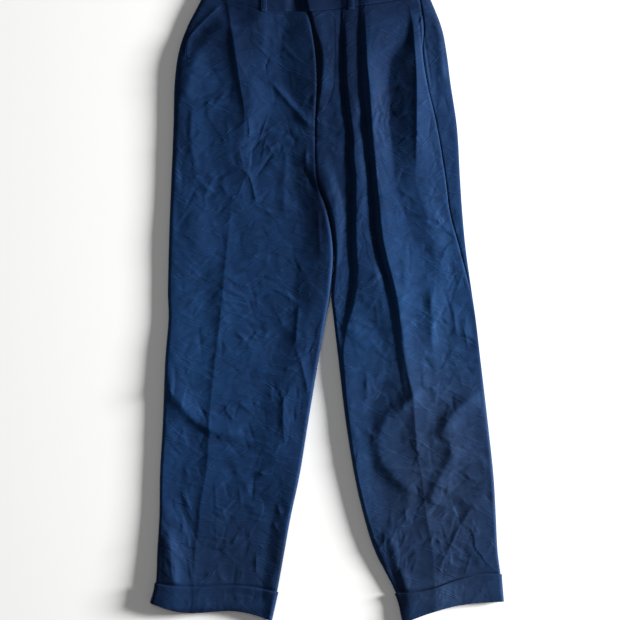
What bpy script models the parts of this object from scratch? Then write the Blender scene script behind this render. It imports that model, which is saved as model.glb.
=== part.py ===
"""Cuffed pleated trousers, laid flat on their back.

The waist points along +Y and the hems along -Y. +X is the wearer's left, and the
floor is z = 0. Every piece of cloth is a closed wall of even thickness. It follows a
surface worked out from the sections and folds below, which are in millimetres.
Names such as right and left are the wearer's.
"""

import math

import bpy
import numpy as np

MM = 0.001

CLOTH = 1.2            # one layer of the twill
BAND = 2.4             # the waistband, cloth and its stiffening
CUFF = 1.6             # the turned-up layer of the hem
LOOP = 1.2             # a belt loop
SHIELD = 1.6           # the underlap behind the fly, two layers
POCKET_BAG = 1.4       # two thin layers, pressed together
ZIP = 1.4              # the closed zip, tape and teeth
SEAM_GAP = 0.3         # between two pieces that are sewn together
BAND_HEIGHT = 40.0

CENTRE = (0.5, 16.8, 0.0)   # the origin, under the middle of the outline, in the tables' x and y
BACK_SEAM_X = -18.0    # the centre back seam
EDGE_SHARE = 0.45      # height of the side edge as a share of the top's height
LEGS_APART = 0.6       # the left leg lies this far from the right one, where they meet
ROW_STEP = 36.0        # spacing of the rows of points along the legs
HEM_INSIDE = 0.04      # the leg ends inside its cuff, as a share of the cuff
FOLD_POWER = 1.5       # between 1, a fold with a sharp crest, and 2, a soft one

NAVY = (0.016, 0.045, 0.125, 1.0)
DARK_NAVY = (0.010, 0.026, 0.075, 1.0)
POCKETING = (0.30, 0.31, 0.33, 1.0)
ZIP_METAL = (0.35, 0.30, 0.20, 1.0)

# Sections shared by both legs. One row for each section, from the hem to the waist:
# side is the reach of the rounded side edge, top is the height of the front above the
# back's underside, lift is the height of the back's underside above the floor, join is
# 0 where the section is a leg and 1 where it runs on into the other half, and
# back_rise is how much higher the back reaches at its centre seam than the front.
SECTIONS = (
    # row            side   top  lift  join  back_rise
    ("hem",           8.0,  9.6,  1.9,  0.0,   0.0),
    ("cuff top",      9.0, 10.0,  1.9,  0.0,   0.0),
    ("shin",         10.0, 11.0,  0.0,  0.0,   0.0),
    ("calf",         11.0, 11.8,  0.0,  0.0,   0.0),
    ("below knee",   12.0, 12.2,  0.0,  0.0,   0.0),
    ("knee",         12.0, 12.4,  0.0,  0.0,   0.0),
    ("above knee",   12.0, 12.6,  0.0,  0.0,   0.0),
    ("thigh",        12.0, 13.0,  0.0,  0.0,   0.0),
    ("legs part",    12.0, 13.4,  0.0,  0.0,   0.0),
    ("upper thigh",  12.0, 13.8,  0.0,  0.0,   0.0),
    ("fork",         12.0, 14.2,  0.0,  0.1,   0.0),
    ("crotch",       12.0, 14.4,  0.0,  1.0,   0.0),
    ("fly end",      13.0, 14.6,  0.0,  1.0,   0.0),
    ("hip",          13.0, 14.8,  0.0,  1.0,   0.0),
    ("fly belly",    13.0, 14.8,  0.0,  1.0,   4.0),
    ("pocket",       12.0, 14.4,  0.4,  1.0,  14.0),
    ("waist seam",   11.0, 14.0,  1.5,  1.0,  35.0),
    ("waist top",    10.0, 14.0,  1.5,  1.0,  34.0),
)

# The outline of each half, seen from above. The outer point is on the silhouette and
# the inner point on the inseam, the centre seam or the edge of the fly. seam_in is how
# far the side seam lies inside the silhouette, on the front. bow and swing bend the
# line between the two points towards the waist, as half and whole sine waves.
OUTLINE_RIGHT = (
    # row           out_x   out_y    in_x    in_y  seam_in  bow  swing
    ("hem",        -299.0, -506.0,  -95.0, -536.0,   0.0,   0.0, -7.6),
    ("cuff top",   -291.0, -473.0,  -84.5, -488.0,   0.0,   2.0, -4.0),
    ("shin",       -288.5, -416.0,  -72.0, -419.0,   0.0,   0.0,  0.0),
    ("calf",       -285.0, -356.0,  -61.0, -358.0,   0.0,   0.0,  0.0),
    ("below knee", -284.0, -288.0,  -46.0, -288.0,   0.0,   0.0,  0.0),
    ("knee",       -279.0, -195.0,  -31.0, -195.0,   0.0,   0.0,  0.0),
    ("above knee", -275.0,  -93.0,  -14.0,  -93.0,   0.0,   0.0,  0.0),
    ("thigh",      -269.5,  -25.0,   -2.0,  -25.0,   0.0,   0.0,  0.0),
    ("legs part",  -270.5,   23.0,    7.0,   23.0,   0.0,   0.0,  0.0),
    ("upper thigh", -269.0,  94.0,   12.0,   94.0,   0.0,   0.0,  0.0),
    ("fork",       -267.0,  157.0,    3.0,  157.0,   0.0,   0.0,  0.0),
    ("crotch",     -264.5,  217.0,  -17.0,  217.0,   0.0,   0.0,  0.0),
    ("fly end",    -261.0,  302.0,  -20.0,  302.0,   0.0,   0.0,  0.0),
    ("hip",        -259.0,  377.0,  -17.4,  377.0,   0.0,   0.0,  0.0),
    ("fly belly",  -252.0,  431.0,  -20.0,  428.0,   0.0,   0.0,  0.0),
    ("pocket",     -237.0,  475.0,  -27.0,  475.0,   0.0,   0.0,  0.0),
    ("waist seam", -210.0,  528.0,  -33.0,  499.0,   0.0,  -8.0,  0.0),
    ("waist top",  -195.0,  569.0,  -41.0,  540.0,   0.0,  -8.0,  0.0),
)
OUTLINE_LEFT = (
    # row           out_x   out_y    in_x    in_y  seam_in  bow  swing
    ("hem",         300.0, -504.0,  131.0, -540.0,   0.0,   9.9,  0.0),
    ("cuff top",    296.0, -458.0,  118.0, -490.0,   0.0,   2.5,  5.0),
    ("shin",        291.0, -416.0,   82.5, -419.0,   0.0,   0.0,  0.0),
    ("calf",        288.0, -356.0,   63.0, -358.0,   0.0,   0.0,  0.0),
    ("below knee",  284.0, -288.0,   47.0, -288.0,   0.0,   0.0,  0.0),
    ("knee",        274.0, -195.0,   32.0, -195.0,   0.0,   0.0,  0.0),
    ("above knee",  262.0,  -93.0,   20.0,  -93.0,   0.0,   0.0,  0.0),
    ("thigh",       254.0,  -25.0,   12.0,  -25.0,   0.0,   0.0,  0.0),
    ("legs part",   247.0,   23.0,    7.6,   23.0,   2.0,   0.0,  0.0),
    ("upper thigh", 237.0,   94.0,   12.6,   94.0,  10.0,   0.0,  0.0),
    ("fork",        231.0,  157.0,    3.6,  157.0,  21.0,   0.0,  0.0),
    ("crotch",      227.0,  217.0,  -16.4,  217.0,  25.0,   0.0,  0.0),
    ("fly end",     222.0,  302.0,  -19.4,  302.0,  34.0,   0.0,  0.0),
    ("hip",         211.0,  377.0,  -10.5,  377.0,  40.0,   0.0,  0.0),
    ("fly belly",   204.0,  431.0,   -8.9,  428.0,  41.0,   0.0,  0.0),
    ("pocket",      195.0,  475.0,  -22.5,  475.0,  30.0,   0.0,  0.0),
    ("waist seam",  174.0,  528.0,  -28.5,  499.0,  17.0,  -3.0,  0.0),
    ("waist top",   160.0,  569.0,  -38.0,  540.0,  12.0,  -3.0,  0.0),
)

# The largest folds of the fronts. Each fold runs down the leg through its stations,
# from the hem end to the waist end. height is above (or, below zero, under) the plain
# top, and the two widths are the reach of its slopes towards -X and towards +X.
FOLDS_RIGHT = {
    "front crease": {
        "widths": (22.0, 16.0),
        "stations": (
            # y        x      height
            (-540.0, -232.0,   1.2),
            (-433.0, -231.0,   2.2),
            (-295.0, -213.0,   2.4),
            (-94.0,  -193.0,   2.4),
            (77.0,   -175.0,   2.0),
            (213.0,  -166.0,   1.0),
            (290.0,  -150.0,   0.0),
        ),
    },
    "outer pleat": {
        "widths": (12.0, 7.0),
        "stations": (
            (300.0,  -150.0,   0.0),
            (366.0,  -148.0,  -3.0),
            (434.0,  -158.0,  -4.6),
            (490.0,  -166.0,  -3.0),
            (530.0,  -172.0,  -1.0),
        ),
    },
    "pleat roll": {
        "widths": (10.0, 26.0),
        "stations": (
            (150.0,  -150.0,   0.0),
            (239.0,  -146.0,   1.6),
            (324.0,  -130.0,   2.8),
            (400.0,  -140.0,   2.4),
            (470.0,  -146.0,   0.8),
        ),
    },
    "inner valley": {
        "widths": (30.0, 22.0),
        "stations": (
            (-420.0, -122.0,   0.0),
            (-263.0,  -96.0,  -2.0),
            (-59.0,   -73.0,  -2.4),
            (94.0,    -79.0,  -2.0),
            (200.0,   -92.0,   0.0),
        ),
    },
    "fall to the fly": {
        "widths": (34.0, 60.0),
        "stations": (
            (120.0,     5.0,   0.0),
            (217.0,   -17.0,  -2.0),
            (302.0,   -19.0,  -2.8),
            (349.0,   -18.0,  -4.0),
            (428.0,   -16.0,  -4.6),
            (520.0,   -30.0,  -4.4),
            (555.0,   -30.0,   0.0),
        ),
    },
}
FOLDS_LEFT = {
    "inner groove": {
        "widths": (9.0, 6.0),
        "stations": (
            (-60.0,    50.0,   0.0),
            (60.0,     44.0,  -2.0),
            (196.0,    40.0,  -5.0),
            (341.0,    28.0,  -6.4),
            (440.0,    25.0,  -5.0),
            (500.0,    24.0,   0.0),
        ),
    },
    "outer groove": {
        "widths": (10.0, 6.0),
        "stations": (
            (-230.0,  142.0,   0.0),
            (-110.0,  126.0,  -3.0),
            (43.0,    101.0,  -5.0),
            (196.0,    79.0,  -7.0),
            (360.0,    64.0,  -7.4),
            (451.0,    58.0,  -5.4),
            (490.0,    52.0,  -3.0),
            (520.0,    50.0,   0.0),
        ),
    },
    "front crease": {
        "widths": (10.0, 26.0),
        "stations": (
            (-560.0,  182.0,   0.8),
            (-356.0,  170.0,   2.6),
            (-161.0,  147.0,   3.4),
            (43.0,    120.0,   4.0),
            (196.0,    97.0,   3.6),
            (370.0,    90.0,   3.4),
            (500.0,    86.0,   1.4),
        ),
    },
    "pleat valley": {
        "widths": (14.0, 12.0),
        "stations": (
            (60.0,    180.0,   0.0),
            (145.0,   155.0,  -3.4),
            (247.0,   140.0,  -4.4),
            (366.0,   134.0,  -4.6),
            (440.0,   116.0,  -4.0),
            (500.0,   111.0,  -2.0),
            (530.0,   110.0,   0.0),
        ),
    },
    "outer roll": {
        "widths": (14.0, 18.0),
        "stations": (
            (0.0,     222.0,   0.0),
            (94.0,    199.0,   1.8),
            (196.0,   176.0,   2.6),
            (349.0,   160.0,   2.6),
            (430.0,   150.0,   1.0),
        ),
    },
    "raised fly": {
        "widths": (40.0, 22.0),
        "stations": (
            (120.0,     5.0,   0.0),
            (217.0,   -15.0,  -2.0),
            (302.0,   -17.0,  -2.8),
            (330.0,   -15.0,  -0.6),
            (360.0,   -11.0,   1.4),
            (428.0,    -6.0,   2.0),
            (545.0,   -34.0,   1.2),
        ),
    },
}

# The lines that the columns of points of each front follow, from the side seam to the
# centre, with the number of columns from one to the next. A line below its last
# station keeps its share of the leg's width.
COLUMNS_RIGHT = (("front crease", 5), ("inner valley", 4), (None, 4))
COLUMNS_LEFT = (("outer roll", 4), ("pleat valley", 2), ("front crease", 3),
                ("outer groove", 2), ("inner groove", 2), (None, 3))
BACK_COLUMNS = 5           # across the flat of each back
INNER_COLUMNS = 3          # up the inner edge
TURN_COLUMNS = 4           # round a side edge
WRAP_COLUMNS = 6           # round an edge that the cloth wraps over
COLUMN_LEAST = 4.0         # the least width of a column of points

# Belt loops: name, half of the trousers, front or back, and place along the band
LOOP_WIDTH = 10.0
LOOP_OVERHANG = 5.0        # how far a loop reaches below the waistband
LOOP_SLACK = 0.5           # between a loop and the band
LOOP_ROWS = 6
LOOPS = (
    ("belt_loop_front_right", "right", "front", -107.0),
    ("belt_loop_front_left", "left", "front", 41.5),
    ("belt_loop_back_right", "right", "back", -128.0),
    ("belt_loop_back_left", "left", "back", 92.0),
    ("belt_loop_back_centre", "right", "back", BACK_SEAM_X),
)

UNDERLAP_END = -2.0        # where the right end of the waistband stops, under the left
UNDERLAP_DROP = 4.2        # how far the underlap lies below the left end
UNDERLAP_START = -72.0
UNDERLAP_SLOPE = 22.0
UNDERLAP_COLUMNS = 3
FLY_TOP = 496.0
SHIELD_FOOT = 318.0
SHIELD_EDGES = (-58.0, 12.0)
SHIELD_GAP = 0.7           # between the shield and the front that it is sewn to
ZIP_FOOT = 345.0
ZIP_EDGES = (-6.0, 10.0)
STRIP_ROWS = 9             # rows of points of the shield and the zip
STRIP_STEP = 10.0          # spacing of their columns
FOOT_WIDTH = 0.6           # width of their feet, as a share of the rest
FOOT_LENGTH = 40.0
HOOK_SIZE = (14.0, 9.0, 0.8)
HOOK_INSIDE = 16.0         # from the left end of the band to the middle of the hook
HOOK_GAP = 0.7

POCKET_FOOT = 245.0
POCKET_TOP = 512.0
POCKET_COLUMNS = 8

HALVES = {
    "right": {"outline": OUTLINE_RIGHT, "folds": FOLDS_RIGHT, "columns": COLUMNS_RIGHT, "sign": 1.0},
    "left": {"outline": OUTLINE_LEFT, "folds": FOLDS_LEFT, "columns": COLUMNS_LEFT, "sign": -1.0},
}


def smooth(stations, values, at):
    """A smooth curve through the values: cubics whose slopes are the chords' mean."""
    stations = np.asarray(stations, float)
    values = np.asarray(values, float)
    at = np.clip(np.asarray(at, float), stations[0], stations[-1])
    slopes = np.gradient(values, stations)
    index = np.clip(np.searchsorted(stations, at, side="right") - 1, 0, len(stations) - 2)
    span = stations[index + 1] - stations[index]
    t = (at - stations[index]) / span
    start, end = values[index], values[index + 1]
    rise_0, rise_1 = slopes[index] * span, slopes[index + 1] * span
    return (start * (1 + 2 * t) * (1 - t) ** 2 + end * t * t * (3 - 2 * t)
            + rise_0 * t * (1 - t) ** 2 - rise_1 * t * t * (1 - t))


def column(table, number):
    return np.array([row[number] for row in table], float)


def row_number(row_name):
    return [row[0] for row in SECTIONS].index(row_name)


def lengths():
    """Distance of each section from the hem, as the mean of the four edges."""
    steps = np.zeros(len(SECTIONS) - 1)
    for outline in (OUTLINE_RIGHT, OUTLINE_LEFT):
        for first in (1, 3):
            steps += np.hypot(np.diff(column(outline, first)), np.diff(column(outline, first + 1))) / 4
    return np.concatenate(([0.0], np.cumsum(steps)))


def leg_rows(first, last):
    """Places between two rows of the tables, evenly apart on the cloth."""
    along = lengths()
    start, end = along[row_number(first)], along[row_number(last)]
    count = int(round((end - start) / ROW_STEP))
    return np.interp(np.linspace(start, end, count + 1), along, np.arange(len(SECTIONS)))


def panel_rows():
    """Rows of points of the fronts and backs: the hem inside the cuff, then the leg."""
    hem = np.array([HEM_INSIDE, 0.5])
    return np.concatenate([hem, leg_rows("cuff top", "waist seam")])


def section(half, v):
    """The sizes of the section at place v, counted in rows of the tables from the hem."""
    outline = HALVES[half]["outline"]
    rows = np.arange(len(SECTIONS))
    names = ("out_x", "out_y", "in_x", "in_y", "seam_in", "bow", "swing")
    size = {name: smooth(rows, column(outline, i + 1), v) for i, name in enumerate(names)}
    names = ("side", "top", "lift", "join", "back_rise")
    size.update({name: np.interp(v, rows, column(SECTIONS, i + 1)) for i, name in enumerate(names)})
    size["seam_in"] = np.maximum(size["seam_in"], 0.0)
    if half == "left":
        beside = smooth(rows, column(OUTLINE_RIGHT, 3), v) + LEGS_APART
        size["in_x"] = np.maximum(size["in_x"], beside)
    size["sign"] = HALVES[half]["sign"]
    size["width"] = (size["in_x"] - size["out_x"]) * size["sign"]
    back_x = BACK_SEAM_X - size["sign"] * SEAM_GAP / 2
    size["back_x"] = size["in_x"] + (back_x - size["in_x"]) * size["join"]
    size["back_width"] = (size["back_x"] - size["out_x"]) * size["sign"]
    return size


def fold_height(half, x, y):
    """Sum of the folds: each one's height fades with the distance across it."""
    total = np.zeros(np.broadcast(x, y).shape)
    for fold in HALVES[half]["folds"].values():
        ys, xs, heights = np.array(fold["stations"]).T
        across = x - smooth(ys, xs, y)
        width = np.where(across < 0, fold["widths"][0], fold["widths"][1])
        height = np.interp(y, ys, heights)
        total += height * np.exp(-(np.abs(across) / width) ** FOLD_POWER)
    return total


def rounded(share):
    """A quarter circle: 0 at the edge, where it rises steeply, and 1 from share 1 on."""
    share = np.clip(share, 0.0, 1.0)
    return np.sqrt(share * (2.0 - share))


def front(half, v, share):
    """The front's outer surface. share runs from 0 at the silhouette to 1 at the
    inseam, the centre seam or the fly."""
    size = section(half, v)
    inset = share * size["width"]
    x = size["out_x"] + size["sign"] * inset
    bend = size["bow"] * np.sin(math.pi * share) + size["swing"] * np.sin(2 * math.pi * share)
    y = size["out_y"] + (size["in_y"] - size["out_y"]) * share + bend
    edge = size["top"] * EDGE_SHARE + SEAM_GAP / 2
    top = size["top"] + fold_height(half, x, y)
    inner = rounded((size["width"] - inset) / size["side"])
    inner = size["join"] + (1 - size["join"]) * inner
    z = edge + (top - edge) * rounded(inset / size["side"]) * inner
    return np.stack([x, y, z + size["lift"]], axis=-1)


def back(half, v, share):
    """The back's outer surface, its underside. share runs from 0 at the silhouette to
    1 at the inseam or the centre back seam."""
    size = section(half, v)
    inset = share * size["back_width"]
    x = size["out_x"] + size["sign"] * inset
    bend = size["bow"] * (1 - size["join"]) * np.sin(math.pi * share)
    bend = bend + size["swing"] * np.sin(2 * math.pi * share)
    y = size["out_y"] + (size["in_y"] + size["back_rise"] - size["out_y"]) * share + bend
    edge = size["top"] * EDGE_SHARE - SEAM_GAP / 2
    inner = rounded((size["back_width"] - inset) / size["side"])
    inner = size["join"] + (1 - size["join"]) * inner
    z = edge * (1 - rounded(inset / size["side"]) * inner)
    return np.stack([x, y, z + size["lift"]], axis=-1)


def side_edge(half, v, turn):
    """Round the side edge. turn squared is the inset as a share of the edge's reach;
    it is below zero on the underside and above zero on the front."""
    size = section(half, v)
    inset = size["side"] * turn ** 2
    under = back(half, v, inset / size["back_width"])
    over = front(half, v, inset / size["width"])
    over[..., 2] -= SEAM_GAP * (1 - rounded(np.abs(turn)))
    return np.where((turn < 0)[..., None], under, over)


def moved_out(surface, half, v, across, distances):
    """Grids of points moved out from a surface by the distances, along its normals.
    The normals come from small steps along and across the leg."""
    small = 1e-6
    along = surface(half, v + small, across) - surface(half, v - small, across)
    over = surface(half, v, across + small) - surface(half, v, across - small)
    normal = np.cross(over, along) * HALVES[half]["sign"]
    if surface is back:
        normal = -normal
    normal /= np.linalg.norm(normal, axis=-1, keepdims=True)
    points = surface(half, v, across)
    return [points + distance * normal for distance in distances]


def front_shares(half, v):
    """Columns of points across the front, which follow its own fold lines."""
    size = section(half, v)
    middle_y = (size["out_y"] + size["in_y"]) / 2
    start = np.where(size["seam_in"] > 0, size["seam_in"] + SEAM_GAP / 2, 0.0)
    groups = [start[:, None]]
    for name, count in HALVES[half]["columns"]:
        steps = np.arange(1, count + 1) / count
        if name is None:
            root = np.sqrt(size["width"] - start)[:, None] * (1 - steps)
            groups.append(size["width"][:, None] - root ** 2)
            break
        ys, xs, _ = np.array(HALVES[half]["folds"][name]["stations"]).T
        end = (smooth(ys, xs, middle_y) - size["out_x"]) * size["sign"]
        end = np.where(middle_y < ys[0], size["width"] * lowest_share(half, name), end)
        end = np.clip(end, start + COLUMN_LEAST * count, size["width"] - COLUMN_LEAST)
        if len(groups) == 1:
            root = np.sqrt(start)[:, None] + (np.sqrt(end) - np.sqrt(start))[:, None] * steps
            groups.append(root ** 2)
        else:
            groups.append(start[:, None] + (end - start)[:, None] * steps)
        start = end
    return np.concatenate(groups, axis=1) / size["width"][:, None]


def lowest_share(half, name):
    """The share of the width that a fold line has at its lowest station."""
    y, x, _ = HALVES[half]["folds"][name]["stations"][0]
    outline = HALVES[half]["outline"]
    out_x = np.interp(y, column(outline, 2), column(outline, 1))
    in_x = np.interp(y, column(outline, 4), column(outline, 3))
    return (x - out_x) / (in_x - out_x)


def back_shares(half, v):
    """Columns of points across the flat of the back and up its inner edge."""
    size = section(half, v)
    edge = (size["side"] / size["back_width"])[:, None]
    flat = edge + (1 - 2 * edge) * np.arange(1, BACK_COLUMNS) / BACK_COLUMNS
    root = 1 - np.arange(INNER_COLUMNS + 1) / INNER_COLUMNS
    return np.concatenate([flat, 1 - edge * root ** 2], axis=1)


def spread(v, across):
    """Each row's place, repeated for each of its columns."""
    return v[:, None] + np.zeros_like(across)


def under_grids(half, v, last_turn, turn_columns, distances):
    """The underside with the side edge, from that edge's last turn to the inner edge."""
    turn = -1.0 + (last_turn[:, None] + 1.0) * np.arange(turn_columns + 1) / turn_columns
    shares = back_shares(half, v)
    side = moved_out(side_edge, half, spread(v, turn), turn, distances)
    flat = moved_out(back, half, spread(v, shares), shares, distances)
    return [np.concatenate([one[:, ::-1], other], axis=1) for one, other in zip(side, flat)]


def material(name, colour, roughness=0.8, metallic=0.0):
    made = bpy.data.materials.new(name)
    made.use_nodes = True
    shader = made.node_tree.nodes["Principled BSDF"]
    shader.inputs["Base Color"].default_value = colour
    shader.inputs["Roughness"].default_value = roughness
    shader.inputs["Metallic"].default_value = metallic
    return made


def signed_volume(points, triangles):
    corners = points[triangles]
    return np.einsum("ij,ij->i", corners[:, 0], np.cross(corners[:, 1], corners[:, 2])).sum() / 6


def wall(name, outer, inner, finish, ring=False):
    """One closed body between two grids of points, open at its ends if it is a ring."""
    rows, columns, _ = outer.shape
    number = np.arange(rows * columns).reshape(rows, columns)
    if ring:
        number = np.concatenate([number, number[:, :1]], axis=1)
    skin = np.stack([number[:-1, :-1], number[:-1, 1:], number[1:, 1:], number[1:, :-1]], -1)
    skin = skin.reshape(-1, 4)
    edges = [number[0, ::-1], number[-1]]
    if not ring:
        edges += [number[:, 0], number[::-1, -1]]
    quads = [skin, skin[:, [2, 1, 0, 3]] + rows * columns]
    for edge in edges:
        below = edge + rows * columns
        quads.append(np.stack([below[1:], below[:-1], edge[:-1], edge[1:]], -1))
    quads = np.concatenate(quads)
    triangles = np.concatenate([quads[:, [0, 1, 2]], quads[:, [0, 2, 3]]])
    points = (np.concatenate([outer.reshape(-1, 3), inner.reshape(-1, 3)]) - CENTRE) * MM
    if signed_volume(points, triangles) < 0:
        triangles = triangles[:, ::-1]
    mesh = bpy.data.meshes.new(name)
    mesh.from_pydata(points.tolist(), [], triangles.tolist())
    mesh.materials.append(finish)
    mesh.shade_smooth()
    made = bpy.data.objects.new(name, mesh)
    bpy.context.collection.objects.link(made)
    return made


def make_front(half, finish):
    """The front of one leg, from the fold of its hem to the waistband."""
    v = panel_rows()
    shares = front_shares(half, v)
    outer, inner = moved_out(front, half, spread(v, shares), shares, (0.0, -CLOTH))
    return wall("front_" + half, outer, inner, finish)


def make_back(half, finish):
    """The back of one leg: flat on the floor, and turned up as far as the side seam."""
    v = panel_rows()
    size = section(half, v)
    last_turn = np.sqrt(np.maximum(size["seam_in"] - SEAM_GAP / 2, 0.0) / size["side"])
    turn_columns = WRAP_COLUMNS if half == "left" else TURN_COLUMNS
    outer, inner = under_grids(half, v, last_turn, turn_columns, (0.0, -CLOTH))
    return wall("back_" + half, outer, inner, finish)


def make_cuff(half, finish):
    """The turned-up hem: a ring outside the end of the leg, one gap away from it."""
    v = np.array([0.0, 0.5, 1.0])
    shares = front_shares(half, v)
    distances = (SEAM_GAP + CUFF, SEAM_GAP)
    over = moved_out(front, half, spread(v, shares), shares, distances)
    under = under_grids(half, v, np.zeros(3), TURN_COLUMNS, distances)
    outer, inner = [np.concatenate([one, other[:, ::-1]], axis=1) for one, other in zip(over, under)]
    return wall("cuff_" + half, outer, inner, finish, ring=True)


def make_waistband(half, finish):
    """Half the waistband, from the centre back round the side to the front."""
    v = row_number("waist seam") + np.array([SEAM_GAP / BAND_HEIGHT, 0.5, 1.0])
    size = section(half, v)
    last_turn = np.sqrt(size["seam_in"] / size["side"])
    distances = (0.0, -BAND)
    under = under_grids(half, v, last_turn, WRAP_COLUMNS, distances)
    shares = front_shares(half, v)[:, 1:]
    if half == "right":
        reach = (UNDERLAP_END - size["in_x"]) / size["width"]
        underlap = 1 + reach[:, None] * np.arange(1, UNDERLAP_COLUMNS + 1) / UNDERLAP_COLUMNS
        shares = np.concatenate([shares, underlap], axis=1)
    over = moved_out(front, half, spread(v, shares), shares, distances)
    if half == "right":
        drop = np.clip((over[0][..., 0] - UNDERLAP_START) / UNDERLAP_SLOPE, 0.0, 1.0)
        for grid in over:
            grid[..., 2] -= UNDERLAP_DROP * drop * drop * (3 - 2 * drop)
    outer, inner = [np.concatenate([one[:, ::-1], other], axis=1) for one, other in zip(under, over)]
    return wall("waistband_" + half, outer, inner, finish)


def make_pocket(half, finish):
    """The bag of the side pocket: two thin layers that hang under the front."""
    v = panel_rows()
    shares = front_shares(half, v)
    heights = front(half, spread(v, shares), shares)[:, 0, 1]
    rows = np.flatnonzero((heights > POCKET_FOOT) & (heights < POCKET_TOP))
    v = v[rows]
    shares = shares[rows, 1:1 + POCKET_COLUMNS]
    distances = (-CLOTH - SEAM_GAP, -CLOTH - SEAM_GAP - POCKET_BAG)
    outer, inner = moved_out(front, half, spread(v, shares), shares, distances)
    return wall("pocket_" + half, outer, inner, finish)


def fly_surface(x, y):
    """The right front's surface, carried on past its edge under the left one."""
    v = np.interp(y, column(OUTLINE_RIGHT, 4), np.arange(len(SECTIONS)))
    size = section("right", v)
    return np.stack([x, y, size["lift"] + size["top"] + fold_height("right", x, y)], axis=-1)


def make_strip(name, edges, foot, drop, thickness, finish):
    """A strip behind the fly, drop below the right front's outer surface, with its
    foot narrowed."""
    y = np.linspace(foot, FLY_TOP, STRIP_ROWS)[:, None]
    narrow = FOOT_WIDTH + (1 - FOOT_WIDTH) * np.clip((y - foot) / FOOT_LENGTH, 0.0, 1.0)
    last = edges[0] + (edges[1] - edges[0]) * narrow
    count = max(int((edges[1] - edges[0]) / STRIP_STEP), 2)
    x = edges[0] + (last - edges[0]) * np.linspace(0.0, 1.0, count)[None, :]
    outer = fly_surface(x, spread(y[:, 0], x)) - np.array([0.0, 0.0, drop])
    return wall(name, outer, outer - np.array([0.0, 0.0, thickness]), finish)


def make_loop(name, half, surface, x, finish):
    """A belt loop on the band's outer surface, carried a little way below it."""
    start = row_number("waist seam")
    v = np.linspace(start - LOOP_OVERHANG / BAND_HEIGHT, start + 1.0, LOOP_ROWS)
    size = section(half, v)
    width = size["width"] if surface is front else size["back_width"]
    across = np.array([-0.5, 0.0, 0.5])[None, :] * LOOP_WIDTH
    shares = ((x - size["out_x"])[:, None] * size["sign"] + across) / width[:, None]
    distances = (LOOP_SLACK + LOOP, LOOP_SLACK)
    outer, inner = moved_out(surface, half, spread(v, shares), shares, distances)
    if surface is back:
        outer[..., 2] = 0.0
        inner[..., 2] = LOOP
    return wall(name, outer, inner, finish)


def make_hook(finish):
    """The plate of the hook between the two ends of the waistband."""
    width, height, thickness = HOOK_SIZE
    v = np.array([row_number("waist seam") + 0.5])
    size = section("left", v)
    under_band = front("left", v, 1 - HOOK_INSIDE / size["width"])[0]
    x = under_band[0] + np.array([-0.5, 0.5])[None, :] * width + np.zeros((2, 1))
    y = under_band[1] + np.array([-0.5, 0.5])[:, None] * height + np.zeros((1, 2))
    z = np.full((2, 2), under_band[2] - BAND - HOOK_GAP)
    outer = np.stack([x, y, z], axis=-1)
    return wall("waist_hook", outer, outer - np.array([0.0, 0.0, thickness]), finish)


def main():
    for old in list(bpy.data.objects):
        bpy.data.objects.remove(old, do_unlink=True)
    for half in ("right", "left"):
        make_front(half, material("Twill front " + half, NAVY))
        make_back(half, material("Twill back " + half, NAVY))
        make_cuff(half, material("Twill cuff " + half, NAVY))
        make_waistband(half, material("Twill band " + half, NAVY))
        make_pocket(half, material("Pocketing " + half, POCKETING))
    shield_drop = CLOTH + SHIELD_GAP
    shield_twill = material("Twill shield", DARK_NAVY)
    make_strip("fly_shield", SHIELD_EDGES, SHIELD_FOOT, shield_drop, SHIELD, shield_twill)
    zip_drop = shield_drop - SEAM_GAP - ZIP
    zip_metal = material("Zip", ZIP_METAL, roughness=0.4, metallic=0.6)
    make_strip("fly_zip", ZIP_EDGES, ZIP_FOOT, zip_drop, ZIP, zip_metal)
    make_hook(material("Hook", ZIP_METAL, roughness=0.35, metallic=1.0))
    for name, half, side, x in LOOPS:
        surface = front if side == "front" else back
        make_loop(name, half, surface, x, material("Twill " + name, NAVY))


main()
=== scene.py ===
# %% [markdown]
# # Cuffed pleated trousers, laid flat on their back
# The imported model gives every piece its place: two fronts, two backs, two turned-up
# cuffs, a waistband in two halves, belt loops, a fly and two pocket bags. This script
# makes the cloth that is seen. Each piece is a surface worked out on a fine grid from
# the same sections as the solids, with the folds and creases of worn cotton on it.

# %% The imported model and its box
import math

import bpy
import numpy as np
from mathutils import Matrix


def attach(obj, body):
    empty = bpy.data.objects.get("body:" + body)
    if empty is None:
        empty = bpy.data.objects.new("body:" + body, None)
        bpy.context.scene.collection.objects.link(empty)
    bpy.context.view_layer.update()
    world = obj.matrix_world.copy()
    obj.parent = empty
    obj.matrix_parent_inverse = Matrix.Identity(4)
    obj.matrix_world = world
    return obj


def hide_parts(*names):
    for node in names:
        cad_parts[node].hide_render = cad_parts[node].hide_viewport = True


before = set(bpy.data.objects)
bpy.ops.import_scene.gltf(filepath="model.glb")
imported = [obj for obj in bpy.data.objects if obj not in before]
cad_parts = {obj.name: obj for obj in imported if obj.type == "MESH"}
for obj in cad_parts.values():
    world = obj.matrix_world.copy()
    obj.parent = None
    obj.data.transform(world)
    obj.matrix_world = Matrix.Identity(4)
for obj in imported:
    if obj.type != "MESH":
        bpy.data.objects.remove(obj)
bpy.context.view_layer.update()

MM = 0.001
scene = bpy.context.scene

# %% [markdown]
# The photograph looks straight down. Its frame is about 1.05 m wide, so that the hems
# and the waist just run out of it. A long lens from three metres up keeps the legs
# parallel, as a camera on a copy stand does.

# %% Camera
FRAME_SIDE = 1.054            # metres that the picture's side covers, at the cloth
FRAME_MIDDLE = (-0.029, -0.0245)
CAMERA_HEIGHT = 3.2
CLOTH_TOP = 0.012
SENSOR = 36.0

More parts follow.
